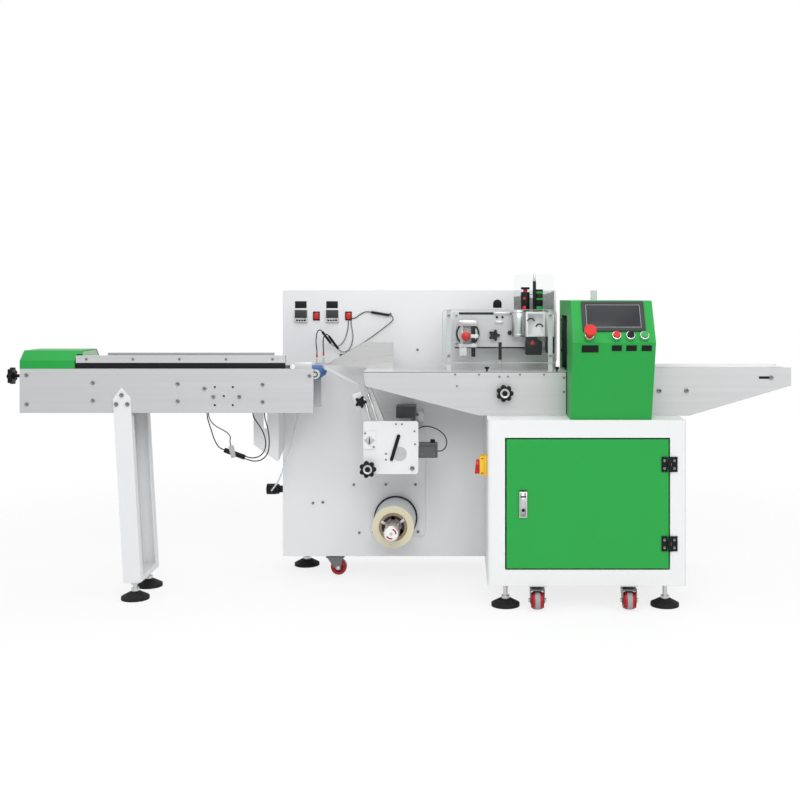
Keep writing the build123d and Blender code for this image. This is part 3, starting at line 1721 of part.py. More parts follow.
# What the cords plug into: two moulded connectors, two rods with ferrules, two sleeves and the pen
with BuildPart() as lead_connectors:
    for route, length in ((sensor_lead_outer_route, black_connector), (sensor_lead_inner_route, grey_connector)):
        start, ahead = route[-1], route[-2]
        along = (Vector(start) - Vector(ahead)).normalized()
        with BuildSketch(Plane(origin=Vector(start) + along * plug_gap, x_dir=(0, 1, 0), z_dir=along)):
            RectangleRounded(connector_depth, connector_height, connector_corner)
        extrude(amount=length - 2 * plug_gap)
    for wire in (heater_wire_1_route, heater_wire_2_route):
        ferrule_foot = wire[0][2] - ferrule_length
        rod(level(sensor_bar_top), wire[0][:2], sensor_rod_radius, ferrule_foot - sensor_bar_top)
        rod(level(ferrule_foot), wire[0][:2], ferrule_radius, ferrule_length)
    for route_in, route_out, radius in (
        (heater_wire_1_route, heater_lead_1_route, sleeve_radius),
        (heater_wire_2_route, heater_lead_2_route, sleeve_radius),
        (pen_lead_upper_route, pen_lead_lower_route, pen_radius),
    ):
        axis = Vector(route_out[0]) - Vector(route_in[-1])
        sleeve_start = Vector(route_in[-1]) + axis.normalized() * plug_gap
        rod(Plane(origin=sleeve_start, z_dir=axis), (0, 0), radius, axis.length - 2 * plug_gap)
write(lead_connectors, "lead_connectors")
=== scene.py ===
"""Looks of a horizontal flow wrapper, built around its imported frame."""
import math

import bpy
from mathutils import Matrix, Vector


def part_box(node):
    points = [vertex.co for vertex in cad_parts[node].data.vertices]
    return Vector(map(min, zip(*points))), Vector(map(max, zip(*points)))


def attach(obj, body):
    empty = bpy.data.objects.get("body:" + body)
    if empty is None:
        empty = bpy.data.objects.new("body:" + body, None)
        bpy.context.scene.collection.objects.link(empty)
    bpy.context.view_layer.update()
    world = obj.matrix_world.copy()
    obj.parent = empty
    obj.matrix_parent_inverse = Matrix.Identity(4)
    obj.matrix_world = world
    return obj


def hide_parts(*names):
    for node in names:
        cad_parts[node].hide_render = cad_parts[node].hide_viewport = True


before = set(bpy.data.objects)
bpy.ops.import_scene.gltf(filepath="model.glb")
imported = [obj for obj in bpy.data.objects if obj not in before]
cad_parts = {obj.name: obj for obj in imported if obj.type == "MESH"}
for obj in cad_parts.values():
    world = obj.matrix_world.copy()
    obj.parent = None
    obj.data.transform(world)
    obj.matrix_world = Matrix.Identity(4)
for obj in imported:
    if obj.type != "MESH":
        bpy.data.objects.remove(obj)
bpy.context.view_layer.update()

# Studio: a camera at the photograph's eye height and with its lens, a white backdrop, a pale floor that fades
# out past the machine, and large soft lights.
scene = bpy.context.scene
scene.view_settings.view_transform = "Standard"

camera_data = bpy.data.cameras.new("camera")
camera_data.lens = 50
camera_data.sensor_width = 36
camera_data.shift_x = -0.0746
camera_data.shift_y = -0.131
camera = bpy.data.objects.new("camera", camera_data)
camera.location = (0.2235, -3.989, 1.05)
camera.rotation_euler = (math.radians(90), 0, 0)
scene.collection.objects.link(camera)
scene.camera = camera


def add_node(tree, kind, inputs=None, operation=None):
    """A shader node, with values or linked sockets on its inputs."""
    node = tree.nodes.new(f"ShaderNode{kind}")
    if operation:
        node.operation = operation
    if kind == "Mix":
        node.data_type = "RGBA"
    for port, value in (inputs or {}).items():
        if isinstance(value, bpy.types.NodeSocket):
            tree.links.new(value, node.inputs[port])
        else:
            node.inputs[port].default_value = value
    return node


def backdrop_rays(tree):
    """A socket that is 1 for what the camera sees, straight or by way of metal and glass."""
    ray = add_node(tree, "LightPath").outputs
    seen = ray["Is Camera Ray"]
    for kind in ("Is Glossy Ray", "Is Transmission Ray"):
        seen = add_node(tree, "Math", {0: seen, 1: ray[kind]}, "MAXIMUM").outputs["Value"]
    return seen


world = bpy.data.worlds.new("studio")
world.use_nodes = True
scene.world = world
sky = world.node_tree
sky.nodes.clear()
sky_light = add_node(sky, "Background", {"Color": (0.98, 0.985, 1.0, 1), "Strength": 0.55})
backdrop = add_node(sky, "Background", {"Color": (1, 1, 1, 1), "Strength": 1.0})
sky_mix = add_node(sky, "MixShader", {
    "Fac": backdrop_rays(sky), 1: sky_light.outputs["Background"], 2: backdrop.outputs["Background"]})
add_node(sky, "OutputWorld", {"Surface": sky_mix.outputs["Shader"]})


def soft_light(name, place, target, size, power):
    """A square area light at one place, turned to another."""
    lamp = bpy.data.lights.new(name, "AREA")
    lamp.size = size
    lamp.energy = power
    holder = bpy.data.objects.new(name, lamp)
    holder.location = place
    holder.rotation_euler = (Vector(target) - Vector(place)).to_track_quat("-Z", "Y").to_euler()
    scene.collection.objects.link(holder)


soft_light("key_light", (0.1, -4.0, 3.2), (0, 0, 0.6), 2.6, 80)
soft_light("fill_light", (3.0, -3.2, 2.3), (0.3, 0, 0.5), 2.6, 38)
soft_light("top_light", (0, -0.2, 3.4), (0, 0, 0.5), 3.6, 50)


def surface(name, colour, roughness, metallic=0.0, mottle=0.05, grain=0.12, grain_scale=700.0,
            stretch=(1, 1, 1), edge=0.0009, sheen=0.5, mottle_scale=5.0):
    """A material with slow mottling, fine grain in its bump and roughness, and softened edges."""
    material = bpy.data.materials.new(f"{name}_finish")
    material.use_nodes = True
    tree = material.node_tree
    shader = tree.nodes["Principled BSDF"]
    shader.inputs["Metallic"].default_value = metallic
    shader.inputs["Specular IOR Level"].default_value = sheen
    place = add_node(tree, "TexCoord").outputs["Object"]
    stretched = add_node(tree, "Mapping", {"Vector": place, "Scale": stretch}).outputs["Vector"]
    slow = add_node(tree, "TexNoise", {"Vector": stretched, "Scale": mottle_scale, "Detail": 4.0}).outputs["Fac"]
    fine = add_node(tree, "TexNoise", {"Vector": stretched, "Scale": grain_scale, "Detail": 3.0}).outputs["Fac"]
    tint = add_node(tree, "Mix", {
        "Factor": slow, "A": [c * (1 - mottle) for c in colour] + [1],
        "B": [min(1.0, c * (1 + mottle)) for c in colour] + [1]})
    gloss = add_node(tree, "MapRange", {
        "Value": fine, "To Min": max(0.02, roughness - 0.08), "To Max": min(1.0, roughness + 0.08)})
    rounded = add_node(tree, "Bevel", {"Radius": edge})
    rounded.samples = 3
    bump = add_node(tree, "Bump", {
        "Strength": grain, "Distance": 0.0003, "Height": fine, "Normal": rounded.outputs["Normal"]})
    tree.links.new(tint.outputs["Result"], shader.inputs["Base Color"])
    tree.links.new(gloss.outputs["Result"], shader.inputs["Roughness"])
    tree.links.new(bump.outputs["Normal"], shader.inputs["Normal"])
    return material


def find_node(tree, kind):
    """The first node of a kind."""
    return next(node for node in tree.nodes if node.type == kind)


fade_start, fade_end, floor_whiteness = 1.7, 3.0, 0.78
floor_paint = surface("floor_paint", (0.93, 0.93, 0.93), 0.55, mottle=0.01, grain=0.02, edge=0.0)
bpy.ops.object.select_all(action="DESELECT")
bpy.ops.mesh.primitive_plane_add(size=40, location=(0, 0, 0))
floor = bpy.context.object
floor.name = "floor"
floor.data.materials.append(floor_paint)
paint = floor_paint.node_tree
floor_place = find_node(paint, "TEX_COORD").outputs["Object"]
from_middle = add_node(paint, "VectorMath", {0: floor_place}, "LENGTH").outputs["Value"]
fade = add_node(paint, "MapRange", {"Value": from_middle, "From Min": fade_start, "From Max": fade_end})
glow_share = add_node(paint, "Math", {0: backdrop_rays(paint), 1: floor_whiteness}, "MULTIPLY")
glow_mix = add_node(paint, "MixShader", {
    "Fac": glow_share.outputs["Value"], 1: paint.nodes["Principled BSDF"].outputs["BSDF"],
    2: add_node(paint, "Emission").outputs["Emission"]})
floor_mix = add_node(paint, "MixShader", {
    "Fac": fade.outputs["Result"], 1: glow_mix.outputs["Shader"],
    2: add_node(paint, "BsdfTransparent").outputs["BSDF"]})
paint.links.new(floor_mix.outputs["Shader"], paint.nodes["Material Output"].inputs["Surface"])

# Cords: leads under the infeed, heater wires, the pen's leads, the photo-eye lead and the air hose. They are
# sheathed copper wires and one clear plastic hose, held at their ends alone, each drawn as one smooth curve.
cable_black = surface("cable_black", (0.010, 0.010, 0.011), 0.42, mottle=0.15, grain=0.25, grain_scale=1500,
                      sheen=0.2)
cable_grey = surface("cable_grey", (0.12, 0.12, 0.125), 0.45, mottle=0.08, grain=0.25, grain_scale=1500, sheen=0.2)
hose_clear = surface("hose_clear", (0.80, 0.83, 0.84), 0.22, mottle=0.04, grain=0.05)
hose_clear.node_tree.nodes["Principled BSDF"].inputs["Transmission Weight"].default_value = 0.35


def lay_cord(node, material, diameter, route):
    """A cord along its route, in metres, which replaces the CAD tube of that name."""
    curve = bpy.data.curves.new(f"{node}_cord", "CURVE")
    curve.dimensions = "3D"
    curve.bevel_depth = diameter / 2
    curve.bevel_resolution = 4
    curve.resolution_u = 10
    curve.use_fill_caps = True
    spline = curve.splines.new("NURBS")
    spline.points.add(len(route) - 1)
    for point, place in zip(spline.points, route):
        point.co = (*place, 1)
    spline.order_u = 3
    spline.use_endpoint_u = True
    cord = bpy.data.objects.new(f"{node}_cord", curve)
    curve.materials.append(material)
    scene.collection.objects.link(cord)
    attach(cord, "base")
    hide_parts(node)
    return cord


def at_depth(depth, places):
    """Points at one depth, from their places across and up."""
    return [(x, depth, z) for x, z in places]


loop_depth, inner_depth = -0.13903, -0.15133
routes = {
    "sensor_lead_outer": at_depth(loop_depth, [
        (-0.652, 0.645), (-0.652, 0.63), (-0.645, 0.606), (-0.637, 0.582), (-0.63, 0.558), (-0.62, 0.536),
        (-0.608, 0.5198), (-0.592, 0.514)]),
    "sensor_lead_inner": at_depth(inner_depth, [
        (-0.644, 0.645), (-0.644, 0.631), (-0.634, 0.611), (-0.617, 0.596), (-0.597, 0.586), (-0.578, 0.575),
        (-0.567, 0.561), (-0.571, 0.5455), (-0.567, 0.53)]),
    "loop_lead_upper": at_depth(loop_depth, [
        (-0.51922, 0.49177), (-0.50512, 0.48664), (-0.486, 0.486), (-0.467, 0.493), (-0.453, 0.509),
        (-0.448, 0.531), (-0.45, 0.554), (-0.458, 0.577), (-0.471, 0.599), (-0.484, 0.617), (-0.493, 0.631),
        (-0.493, 0.645)]),
    "loop_lead_lower": at_depth(loop_depth, [
        (-0.52195, 0.48425), (-0.50786, 0.47912), (-0.487, 0.474), (-0.465, 0.478), (-0.447, 0.492),
        (-0.438, 0.513), (-0.436, 0.537), (-0.437, 0.562), (-0.441, 0.586), (-0.447, 0.609), (-0.453, 0.63),
        (-0.453, 0.645)]),
    "heater_wire_1": [
        (-0.295, 0.04697, 0.838), (-0.295, 0.04697, 0.85), (-0.2975, 0.04697, 0.866), (-0.2985, 0.04697, 0.882),
        (-0.2975, 0.04697, 0.898), (-0.29498, 0.04697, 0.91241), (-0.29209, 0.05105, 0.92013),
        (-0.28723, 0.05792, 0.92387), (-0.28199, 0.06531, 0.92227), (-0.2781, 0.0708, 0.916)],
    "heater_wire_2": [
        (-0.271, 0.04697, 0.844), (-0.271, 0.04697, 0.856), (-0.2725, 0.04697, 0.87), (-0.2723, 0.04697, 0.884),
        (-0.27098, 0.04697, 0.89641), (-0.26809, 0.05105, 0.90413), (-0.26323, 0.05792, 0.90787),
        (-0.25799, 0.06531, 0.90627), (-0.2541, 0.0708, 0.9)],
    "heater_lead_1": [
        (-0.25206, 0.10757, 0.87347), (-0.24618, 0.11587, 0.86386), (-0.232, 0.119, 0.859), (-0.217, 0.122, 0.866),
        (-0.205, 0.126, 0.88), (-0.197, 0.1295, 0.899), (-0.192, 0.1312, 0.92), (-0.189, 0.1314, 0.939),
        (-0.189, 0.1314, 0.9565)],
    "heater_lead_2": [
        (-0.22554, 0.11112, 0.85335), (-0.21966, 0.11943, 0.84375), (-0.206, 0.123, 0.839), (-0.191, 0.126, 0.844),
        (-0.18, 0.129, 0.859), (-0.174, 0.131, 0.879), (-0.172, 0.1314, 0.901), (-0.175, 0.1314, 0.922),
        (-0.179, 0.1314, 0.94), (-0.179, 0.1314, 0.9565)],
    "pen_lead_upper": [
        (-0.1765, 0.1314, 0.964), (-0.164, 0.1314, 0.964), (-0.1525, 0.131, 0.9735), (-0.139, 0.1298, 0.983),
        (-0.1215, 0.1282, 0.9902), (-0.105, 0.1275, 0.9874)],
    "pen_lead_lower": [
        (-0.037, 0.125, 0.976), (-0.029, 0.1247, 0.9747), (-0.023, 0.1244, 0.968), (-0.0235, 0.1241, 0.959),
        (-0.0295, 0.1238, 0.951), (-0.041, 0.1234, 0.941), (-0.058, 0.1228, 0.9285), (-0.08, 0.122, 0.911),
        (-0.108, 0.121, 0.891), (-0.14, 0.119, 0.8695), (-0.17, 0.112, 0.852), (-0.19, 0.106, 0.841),
        (-0.204, 0.1035, 0.833), (-0.213, 0.107, 0.8285), (-0.2165, 0.1155, 0.827), (-0.2165, 0.12797, 0.827)],
    "eye_lead": [
        (0.1455, -0.06203, 0.499), (0.157, -0.06203, 0.499), (0.169, -0.062, 0.505), (0.177, -0.061, 0.519),
        (0.178, -0.059, 0.537), (0.17, -0.055, 0.555), (0.154, -0.049, 0.569), (0.133, -0.041, 0.579),
        (0.11, -0.032, 0.584), (0.09, -0.022, 0.581), (0.076, -0.008, 0.572), (0.068, 0.012, 0.565),
        (0.063, 0.035, 0.56), (0.061, 0.06, 0.557), (0.06, 0.084, 0.556), (0.06, 0.104, 0.5555),
        (0.06, 0.12197, 0.5555)],
    "air_hose": [
        (-0.3725, 0.12797, 0.7), (-0.3725, 0.112, 0.7), (-0.372, 0.098, 0.6925), (-0.371, 0.089, 0.677),
        (-0.37, 0.085, 0.655), (-0.3705, 0.082, 0.63), (-0.372, 0.078, 0.6), (-0.376, 0.074, 0.57),
        (-0.383, 0.07, 0.538), (-0.392, 0.067, 0.506), (-0.402, 0.065, 0.474), (-0.412, 0.065, 0.442),
        (-0.422, 0.068, 0.412), (-0.433, 0.075, 0.384), (-0.446, 0.086, 0.361), (-0.459, 0.098, 0.344),
        (-0.469, 0.11, 0.332), (-0.4735, 0.123, 0.326), (-0.4735, 0.13797, 0.326)],
}
cord_facts = {  # material, diameter, length, far end and lay
    "sensor_lead_outer": (cable_black, 0.004, 0.151, "connector", "hanging"),
    "sensor_lead_inner": (cable_grey, 0.004, 0.151, "connector", "hanging"),
    "loop_lead_upper": (cable_black, 0.004, 0.222, "object", "hanging"),
    "loop_lead_lower": (cable_black, 0.004, 0.237, "object", "hanging"),
    "heater_wire_1": (cable_black, 0.004, 0.111, "fitting", "loose"),
    "heater_wire_2": (cable_black, 0.004, 0.088, "fitting", "loose"),
    "heater_lead_1": (cable_grey, 0.0032, 0.143, "object", "loose"),
    "heater_lead_2": (cable_grey, 0.0032, 0.161, "object", "loose"),
    "pen_lead_upper": (cable_black, 0.0032, 0.079, "object", "loose"),
    "pen_lead_lower": (cable_black, 0.0032, 0.280, "object", "loose"),
    "eye_lead": (cable_black, 0.004, 0.327, "object", "loose"),
    "air_hose": (hose_clear, 0.006, 0.456, "object", "hanging"),
}
cords = {name: lay_cord(name, material, diameter, routes[name])
         for name, (material, diameter, *_) in cord_facts.items()}

# What the cords plug into: a moulded black and a grey connector under the infeed, red crimped ferrules on two
# steel rods, two sleeves on the heater wires, and the marking pen on the main plate.
# This black serves the black plastic parts, and also painted shade in slots, gaps and openings elsewhere.
black_plastic = surface("black_plastic", (0.008, 0.008, 0.009), 0.38, mottle=0.12, grain=0.2, grain_scale=1100,
                        sheen=0.16)
grey_plastic = surface("grey_plastic", (0.38, 0.39, 0.40), 0.42, mottle=0.06, grain=0.2, grain_scale=1100)
red_plastic = surface("red_plastic", (0.60, 0.014, 0.012), 0.3, mottle=0.08, grain=0.08, sheen=0.35)
zinc_steel = surface("zinc_steel", (0.56, 0.57, 0.57), 0.3, metallic=1.0, mottle=0.1, grain=0.2)
stainless = surface("stainless", (0.51, 0.51, 0.51), 0.3, metallic=0.7, mottle=0.09, grain=0.02,
                    grain_scale=900, stretch=(0.012, 1, 1), mottle_scale=60)


smooth_angle = math.radians(40)


def pick(*pieces):
    """Selects these pieces alone and makes the first one active."""
    bpy.ops.object.select_all(action="DESELECT")
    for piece in pieces:
        piece.select_set(True)
    bpy.context.view_layer.objects.active = pieces[0]


def add_bevel(piece, width):
    """Rounds a piece's sharp edges and shades it."""
    pick(piece)
    bpy.ops.object.modifier_add(type="BEVEL")
    rounding = piece.modifiers[-1]
    rounding.width = width
    rounding.segments = 2
    rounding.limit_method = "ANGLE"
    bpy.ops.object.modifier_apply(modifier=rounding.name)
    bpy.ops.object.shade_smooth_by_angle(angle=smooth_angle)


def add_block(name, low, high, bevel=0.001):
    """A block between two corners, with rounded edges."""
    bpy.ops.object.select_all(action="DESELECT")
    centre = [(a + b) / 2 for a, b in zip(low, high)]
    bpy.ops.mesh.primitive_cube_add(size=1, location=centre)
    piece = bpy.context.object
    piece.name = name
    piece.scale = [b - a for a, b in zip(low, high)]
    bpy.ops.object.transform_apply(location=True, rotation=True, scale=True)
    add_bevel(piece, bevel)
    return piece


def add_round(name, start, end, radius, bevel=0.0008, sides=40, end_radius=None):
    """A round bar or cone between two points, with rounded rims."""
    bpy.ops.object.select_all(action="DESELECT")
    axis = Vector(end) - Vector(start)
    bpy.ops.mesh.primitive_cone_add(
        vertices=sides, radius1=radius, radius2=radius if end_radius is None else end_radius, depth=axis.length,
        location=(Vector(start) + Vector(end)) / 2, rotation=axis.to_track_quat("Z", "Y").to_euler())
    piece = bpy.context.object
    piece.name = name
    bpy.ops.object.transform_apply(location=True, rotation=True, scale=True)
    add_bevel(piece, bevel)
    return piece


def inset_faces(piece, direction, thickness, depth):
    """Insets the faces of a piece that look one way, and pushes them in by a depth."""
    pick(piece)
    same_way, flat_within = 0.99, 0.0002
    looks = Vector(direction).normalized()
    faces = piece.data.polygons
    reach = max(f.center.dot(looks) for f in faces)
    for item in (*piece.data.vertices, *piece.data.edges):
        item.select = False
    for face in faces:
        face.select = face.normal.dot(looks) > same_way and face.center.dot(looks) > reach - flat_within
    bpy.ops.object.mode_set(mode="EDIT")
    bpy.ops.mesh.select_mode(type="FACE")
    bpy.ops.mesh.inset(thickness=thickness)
    bpy.ops.mesh.extrude_region_move(TRANSFORM_OT_translate={"value": -looks * depth})
    bpy.ops.object.mode_set(mode="OBJECT")


def join_pieces(name, pieces):
    """One piece from several."""
    pick(*pieces)
    bpy.ops.object.join()
    pieces[0].name = name
    return pieces[0]


def dress(piece, material, body="base"):
    """Gives a piece its material and the body that it rides on."""
    piece.data.materials.clear()
    piece.data.materials.append(material)
    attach(piece, body)


def add_connector(name, route, length, material):
    """A moulded connector in line with a lead's last run, ribbed where it is gripped."""
    start = Vector(route[-1])
    along = (start - Vector(route[-2])).normalized()
    parts = [add_block(name, (-0.006, -0.008, 0), (0.006, 0.008, length), 0.0016)]
    rib_count, rib_pitch, rib_width = 4, 0.005, 0.0022
    for rib in range(rib_count):
        z = length * 0.2 + rib * rib_pitch
        parts.append(add_block(name, (-0.0062, -0.0086, z), (0.0062, 0.0086, z + rib_width), 0.0005))
    piece = join_pieces(name, parts)
    across = Vector((0, 1, 0))
    turn = Matrix((across, along.cross(across), along)).transposed().to_4x4()
    piece.data.transform(Matrix.Translation(start) @ turn)
    dress(piece, material)
    return piece


black_connector = add_connector("black_connector", routes["sensor_lead_outer"], 0.076, black_plastic)
grey_connector = add_connector("grey_connector", routes["sensor_lead_inner"], 0.042, grey_plastic)

rod_parts, ferrule_parts, sleeves = [], [], []
rod_foot, ferrule_length = 0.805, 0.014
for number in (1, 2):
    wire, lead = routes[f"heater_wire_{number}"], routes[f"heater_lead_{number}"]
    x, y, z = wire[0]
    rod_top = z - ferrule_length
    rod_parts.append(add_round("rod", (x, y, rod_foot), (x, y, rod_top), 0.003))
    rod_parts.append(add_round("nut", (x, y, rod_foot), (x, y, rod_foot + 0.005), 0.0042, sides=6))
    ferrule_parts.append(add_round("ferrule", (x, y, rod_top), (x, y, z), 0.0034, end_radius=0.0028))
    sleeves.append(add_round(f"sleeve_{number}", wire[-1], lead[0], 0.0045, 0.0012))
    dress(sleeves[-1], black_plastic)
sensor_rods = join_pieces("sensor_rods", rod_parts)
dress(sensor_rods, zinc_steel)
ferrules = join_pieces("ferrules", ferrule_parts)
dress(ferrules, red_plastic)

pen_start, pen_end = Vector(routes["pen_lead_upper"][-1]), Vector(routes["pen_lead_lower"][0])
pen_axis = (pen_end - pen_start).normalized()
pen_parts = [add_round("pen", pen_start, pen_end, 0.0045, 0.0014)]
for share in (0.12, 0.2, 0.82):
    ring_at = pen_start.lerp(pen_end, share)
    pen_parts.append(add_round("ring", ring_at, ring_at + pen_axis * 0.003, 0.005, 0.0004))
pen = join_pieces("pen", pen_parts)
dress(pen, black_plastic)
for piece in (black_connector, grey_connector, sensor_rods, ferrules, *sleeves, pen):
    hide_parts("lead_connectors")

# Carrying structure: the main plate and the drive housing behind it, bent from steel sheet, powder coated in
# white and screwed together. A window in the plate is filled with a black sheet, which is painted shade in the
# opening.
white_paint = surface("white_paint", (0.75, 0.755, 0.76), 0.42, mottle=0.02, grain=0.22, grain_scale=420)
aluminium = surface("aluminium", (0.53, 0.535, 0.54), 0.4, metallic=0.5, mottle=0.08, grain=0.12,
                    grain_scale=1100, stretch=(0.012, 1, 1), mottle_scale=70)


def repaint(material, *names):
    """Gives CAD nodes a material."""
    for name in names:
        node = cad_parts[name]
        if not node.material_slots:
            node.data.materials.append(material)
        for held in node.material_slots:
            held.material = material


screw_steel = surface("screw_steel", (0.22, 0.22, 0.225), 0.3, metallic=1.0, mottle=0.1, grain=0.15)


def add_screws(name, places, radius, material=screw_steel, body="base", looks=(0, -1, 0)):
    """Socket screws whose heads stand on a face, at places in millimetres."""
    head_height, rim_bevel, socket_rim, socket_depth = (radius * share for share in (0.7, 0.16, 0.42, 0.4))
    head = add_round(name, (0, 0, 0), (0, 0, head_height), radius, rim_bevel, sides=24)
    inset_faces(head, (0, 0, 1), socket_rim, socket_depth)
    turn = Vector(looks).to_track_quat("Z", "Y").to_matrix().to_4x4()
    heads = []
    for place in places:
        copy = head.copy()
        copy.data = head.data.copy()
        copy.data.transform(Matrix.Translation(Vector(place) / 1000) @ turn)
        scene.collection.objects.link(copy)
        heads.append(copy)
    bpy.data.objects.remove(head)
    dress(join_pieces(name, heads), material, body)


repaint(white_paint, "main_plate", "rear_housing")
plate_face, housing_back = 133.97, 410.97
add_screws("main_plate_screws", at_depth(plate_face, (
    (-320.9, 278.8), (-283.8, 281.8), (66.9, 847.7), (-33.7, 979.9), (-169, 347), (-149, 169))), 0.005)
# The black sheet in the plate's window is painted shade in the opening.
dress(add_block("window_painted_shade", (0.3477, 0.1385, 1.0032), (0.3793, 0.1439, 1.0338)), black_plastic)
add_screws("cover_screws", [(x, housing_back, z) for x in (-395, 60, 90, 545) for z in (240, 620, 1030)],
           0.006, looks=(0, 1, 0))

# Cabinet: folded steel sheet in white powder coat, with a green door on two cast black hinges, a plated lock,
# and the main switch, a yellow moulded body with a red handle, screwed to the left wall.
green_paint = surface("green_paint", (0.020, 0.33, 0.058), 0.42, mottle=0.05, grain=0.3, grain_scale=380,
                      sheen=0.22)
yellow_plastic = surface("yellow_plastic", (0.80, 0.50, 0.02), 0.35, mottle=0.05, grain=0.1)
repaint(white_paint, "cabinet_front_frame", "cabinet_shell")
repaint(green_paint, "door_panel")
repaint(black_plastic, "door_hardware", "hinge_frame_leaves")
repaint(red_plastic, "switch_handle")
switch_body = add_block("switch_body", (0.2905, -0.26003, 0.446), (0.3078, -0.19803, 0.508), 0.0016)
inset_faces(switch_body, (-1, 0, 0), 0.004, 0.0012)
switch_plate = join_pieces("switch_plate", [
    add_block("switch_plate", (0.3075, -0.26353, 0.4425), (0.3165, -0.19453, 0.5115), 0.0016), switch_body])
dress(switch_plate, yellow_plastic)
dress(join_pieces("switch_slots", [
    add_block("slot", (0.2945, -0.26043, z), (0.3035, -0.25943, z + 0.0045), 0.0003)
    for z in (0.4505, 0.4995)]), red_plastic)
leaf_face, hinge_screw_levels = -293.03, (210, 236, 474, 500)
add_screws("door_hinge_screws", [(904.5, leaf_face, z) for z in hinge_screw_levels], 0.0045, body="door")
add_screws("frame_hinge_screws", [(937.5, leaf_face, z) for z in hinge_screw_levels], 0.0045)
lock_plate = add_block("lock_plate", (0.4218, -0.2942, 0.3093), (0.4482, -0.2929, 0.3965), 0.0006)
inset_faces(lock_plate, (0, -1, 0), 0.003, -0.0006)
dress(lock_plate, zinc_steel, "door")
dress(add_block("lock_grip", (0.4268, -0.2962, 0.345), (0.4432, -0.2946, 0.374), 0.0006), zinc_steel, "door")
# The slit and the keyhole are black pieces, painted shade in the lock's openings.
dress(join_pieces("lock_details", [
    add_block("slit", (0.4255, -0.2952, 0.377), (0.4445, -0.2944, 0.382), 0.0003),
    add_round("keyhole", (0.4352, -0.2946, 0.3345), (0.4352, -0.2956, 0.3345), 0.0058, 0.0004)]),
      black_plastic, "door")

# Feet and casters: rubber pads on zinc-plated studs, and plated swivel forks under the housings, which hold red
# moulded wheels with a grey tread on nutted axles.
foot_rubber = surface("foot_rubber", (0.015, 0.015, 0.015), 0.7, mottle=0.15, grain=0.35, grain_scale=500,
                      sheen=0.2)
# This black is painted shade, for the sheets inside the tunnel's mouth.
black_steel = surface("black_steel", (0.015, 0.015, 0.016), 0.35, metallic=0.2, mottle=0.12, grain=0.15, sheen=0.2)
fork_steel = surface("fork_steel", (0.16, 0.16, 0.165), 0.3, metallic=0.9, mottle=0.12, grain=0.15)
wheel_red = surface("wheel_red", (0.36, 0.012, 0.018), 0.3, mottle=0.08, grain=0.08, sheen=0.3)
grey_tread = surface("grey_tread", (0.30, 0.30, 0.30), 0.62, mottle=0.12, grain=0.35, grain_scale=600)
repaint(foot_rubber, "foot_pads")
repaint(zinc_steel, "floor_fittings")
tread_half, nut_start, nut_end = 0.0085, 0.024, 0.030
for number in range(1, 5):
    repaint(fork_steel, f"caster_fork_{number}")
    low, high = (Vector(corner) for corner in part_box(f"caster_wheel_{number}"))
    size, centre = high - low, (low + high) / 2
    axis = Vector((1, 0, 0)) if size.x < size.y else Vector((0, 1, 0))
    half, radius = min(size.x, size.y) / 2, size.z / 2
    tread = add_round("tread", centre - axis * tread_half, centre + axis * tread_half, radius, 0.0012, sides=64)
    hub = add_round("hub", centre - axis * half, centre + axis * half, radius - 0.0008, 0.006, sides=64)
    for side in (-1, 1):
        inset_faces(hub, axis * side, radius * 0.12, 0.004)
        inset_faces(hub, axis * side, radius * 0.2, -0.003)
    tread.data.materials.append(grey_tread)
    hub.data.materials.append(wheel_red)
    wheel = join_pieces(f"caster_{number}_tyre", [hub, tread])
    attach(wheel, f"caster_{number}_wheel")
    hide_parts(f"caster_wheel_{number}")
    dress(join_pieces(f"caster_{number}_nuts", [
        add_round("nut", centre + axis * side * nut_start, centre + axis * side * nut_end, 0.0075, 0.0006, sides=6)
        for side in (-1, 1)]), zinc_steel, f"caster_{number}")

# Conveyors: brushed aluminium side plates and beds, bolted to the frame, carry guide rails and woven belts.
# The hood is folded green sheet, the supports are white tube, and the tension knob is moulded.


def woven(name, colour, roughness, pitch=0.0014):
    """A belt material with a fine square weave."""
    material = surface(name, colour, roughness, mottle=0.1, grain=0.2, grain_scale=900)
    tree = material.node_tree
    band_pitch = 0.314  # metres between the bands of a wave texture at a scale of 1
    place = find_node(tree, "TEX_COORD").outputs["Object"]
    bump = find_node(tree, "BUMP").outputs["Normal"]
    weave = add_node(tree, "Math", operation="MULTIPLY")
    for port, direction in enumerate(("X", "Y")):
        thread = add_node(tree, "TexWave", {"Vector": place, "Scale": band_pitch / pitch})
        thread.bands_direction = direction
        tree.links.new(thread.outputs["Fac"], weave.inputs[port])
    thread_bump = add_node(tree, "Bump", {
        "Strength": 0.5, "Distance": 0.0003, "Height": weave.outputs["Value"], "Normal": bump})
    tree.links.new(thread_bump.outputs["Normal"], tree.nodes["Principled BSDF"].inputs["Normal"])
    return material


repaint(aluminium, "conveyor_side_plates", "conveyor_beds", "guide_rails")
repaint(woven("black_belt", (0.018, 0.018, 0.02), 0.6), "infeed_belt")
repaint(woven("blue_belt", (0.012, 0.085, 0.33), 0.55), "transfer_belt")
dress(add_block("transfer_guide", (-0.3568, -0.1688, 0.7968), (-0.2846, -0.1658, 0.8195), 0.0008), aluminium)
dress(add_round("guide_knob", (-0.350, -0.1686, 0.8035), (-0.350, -0.1765, 0.8035), 0.0085, 0.0012, sides=24),
      white_paint)
belt_low, belt_high = (Vector(corner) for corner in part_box("transfer_belt"))
roller_at = Vector((belt_high.x - (belt_high.z - belt_low.z) / 2, -0.1500, (belt_low.z + belt_high.z) / 2))
roller_hub = add_round("roller_hub", roller_at, (roller_at.x, -0.1618, roller_at.z), 0.0105, 0.001)
inset_faces(roller_hub, (0, -1, 0), 0.003, 0.002)
dress(roller_hub, black_plastic)
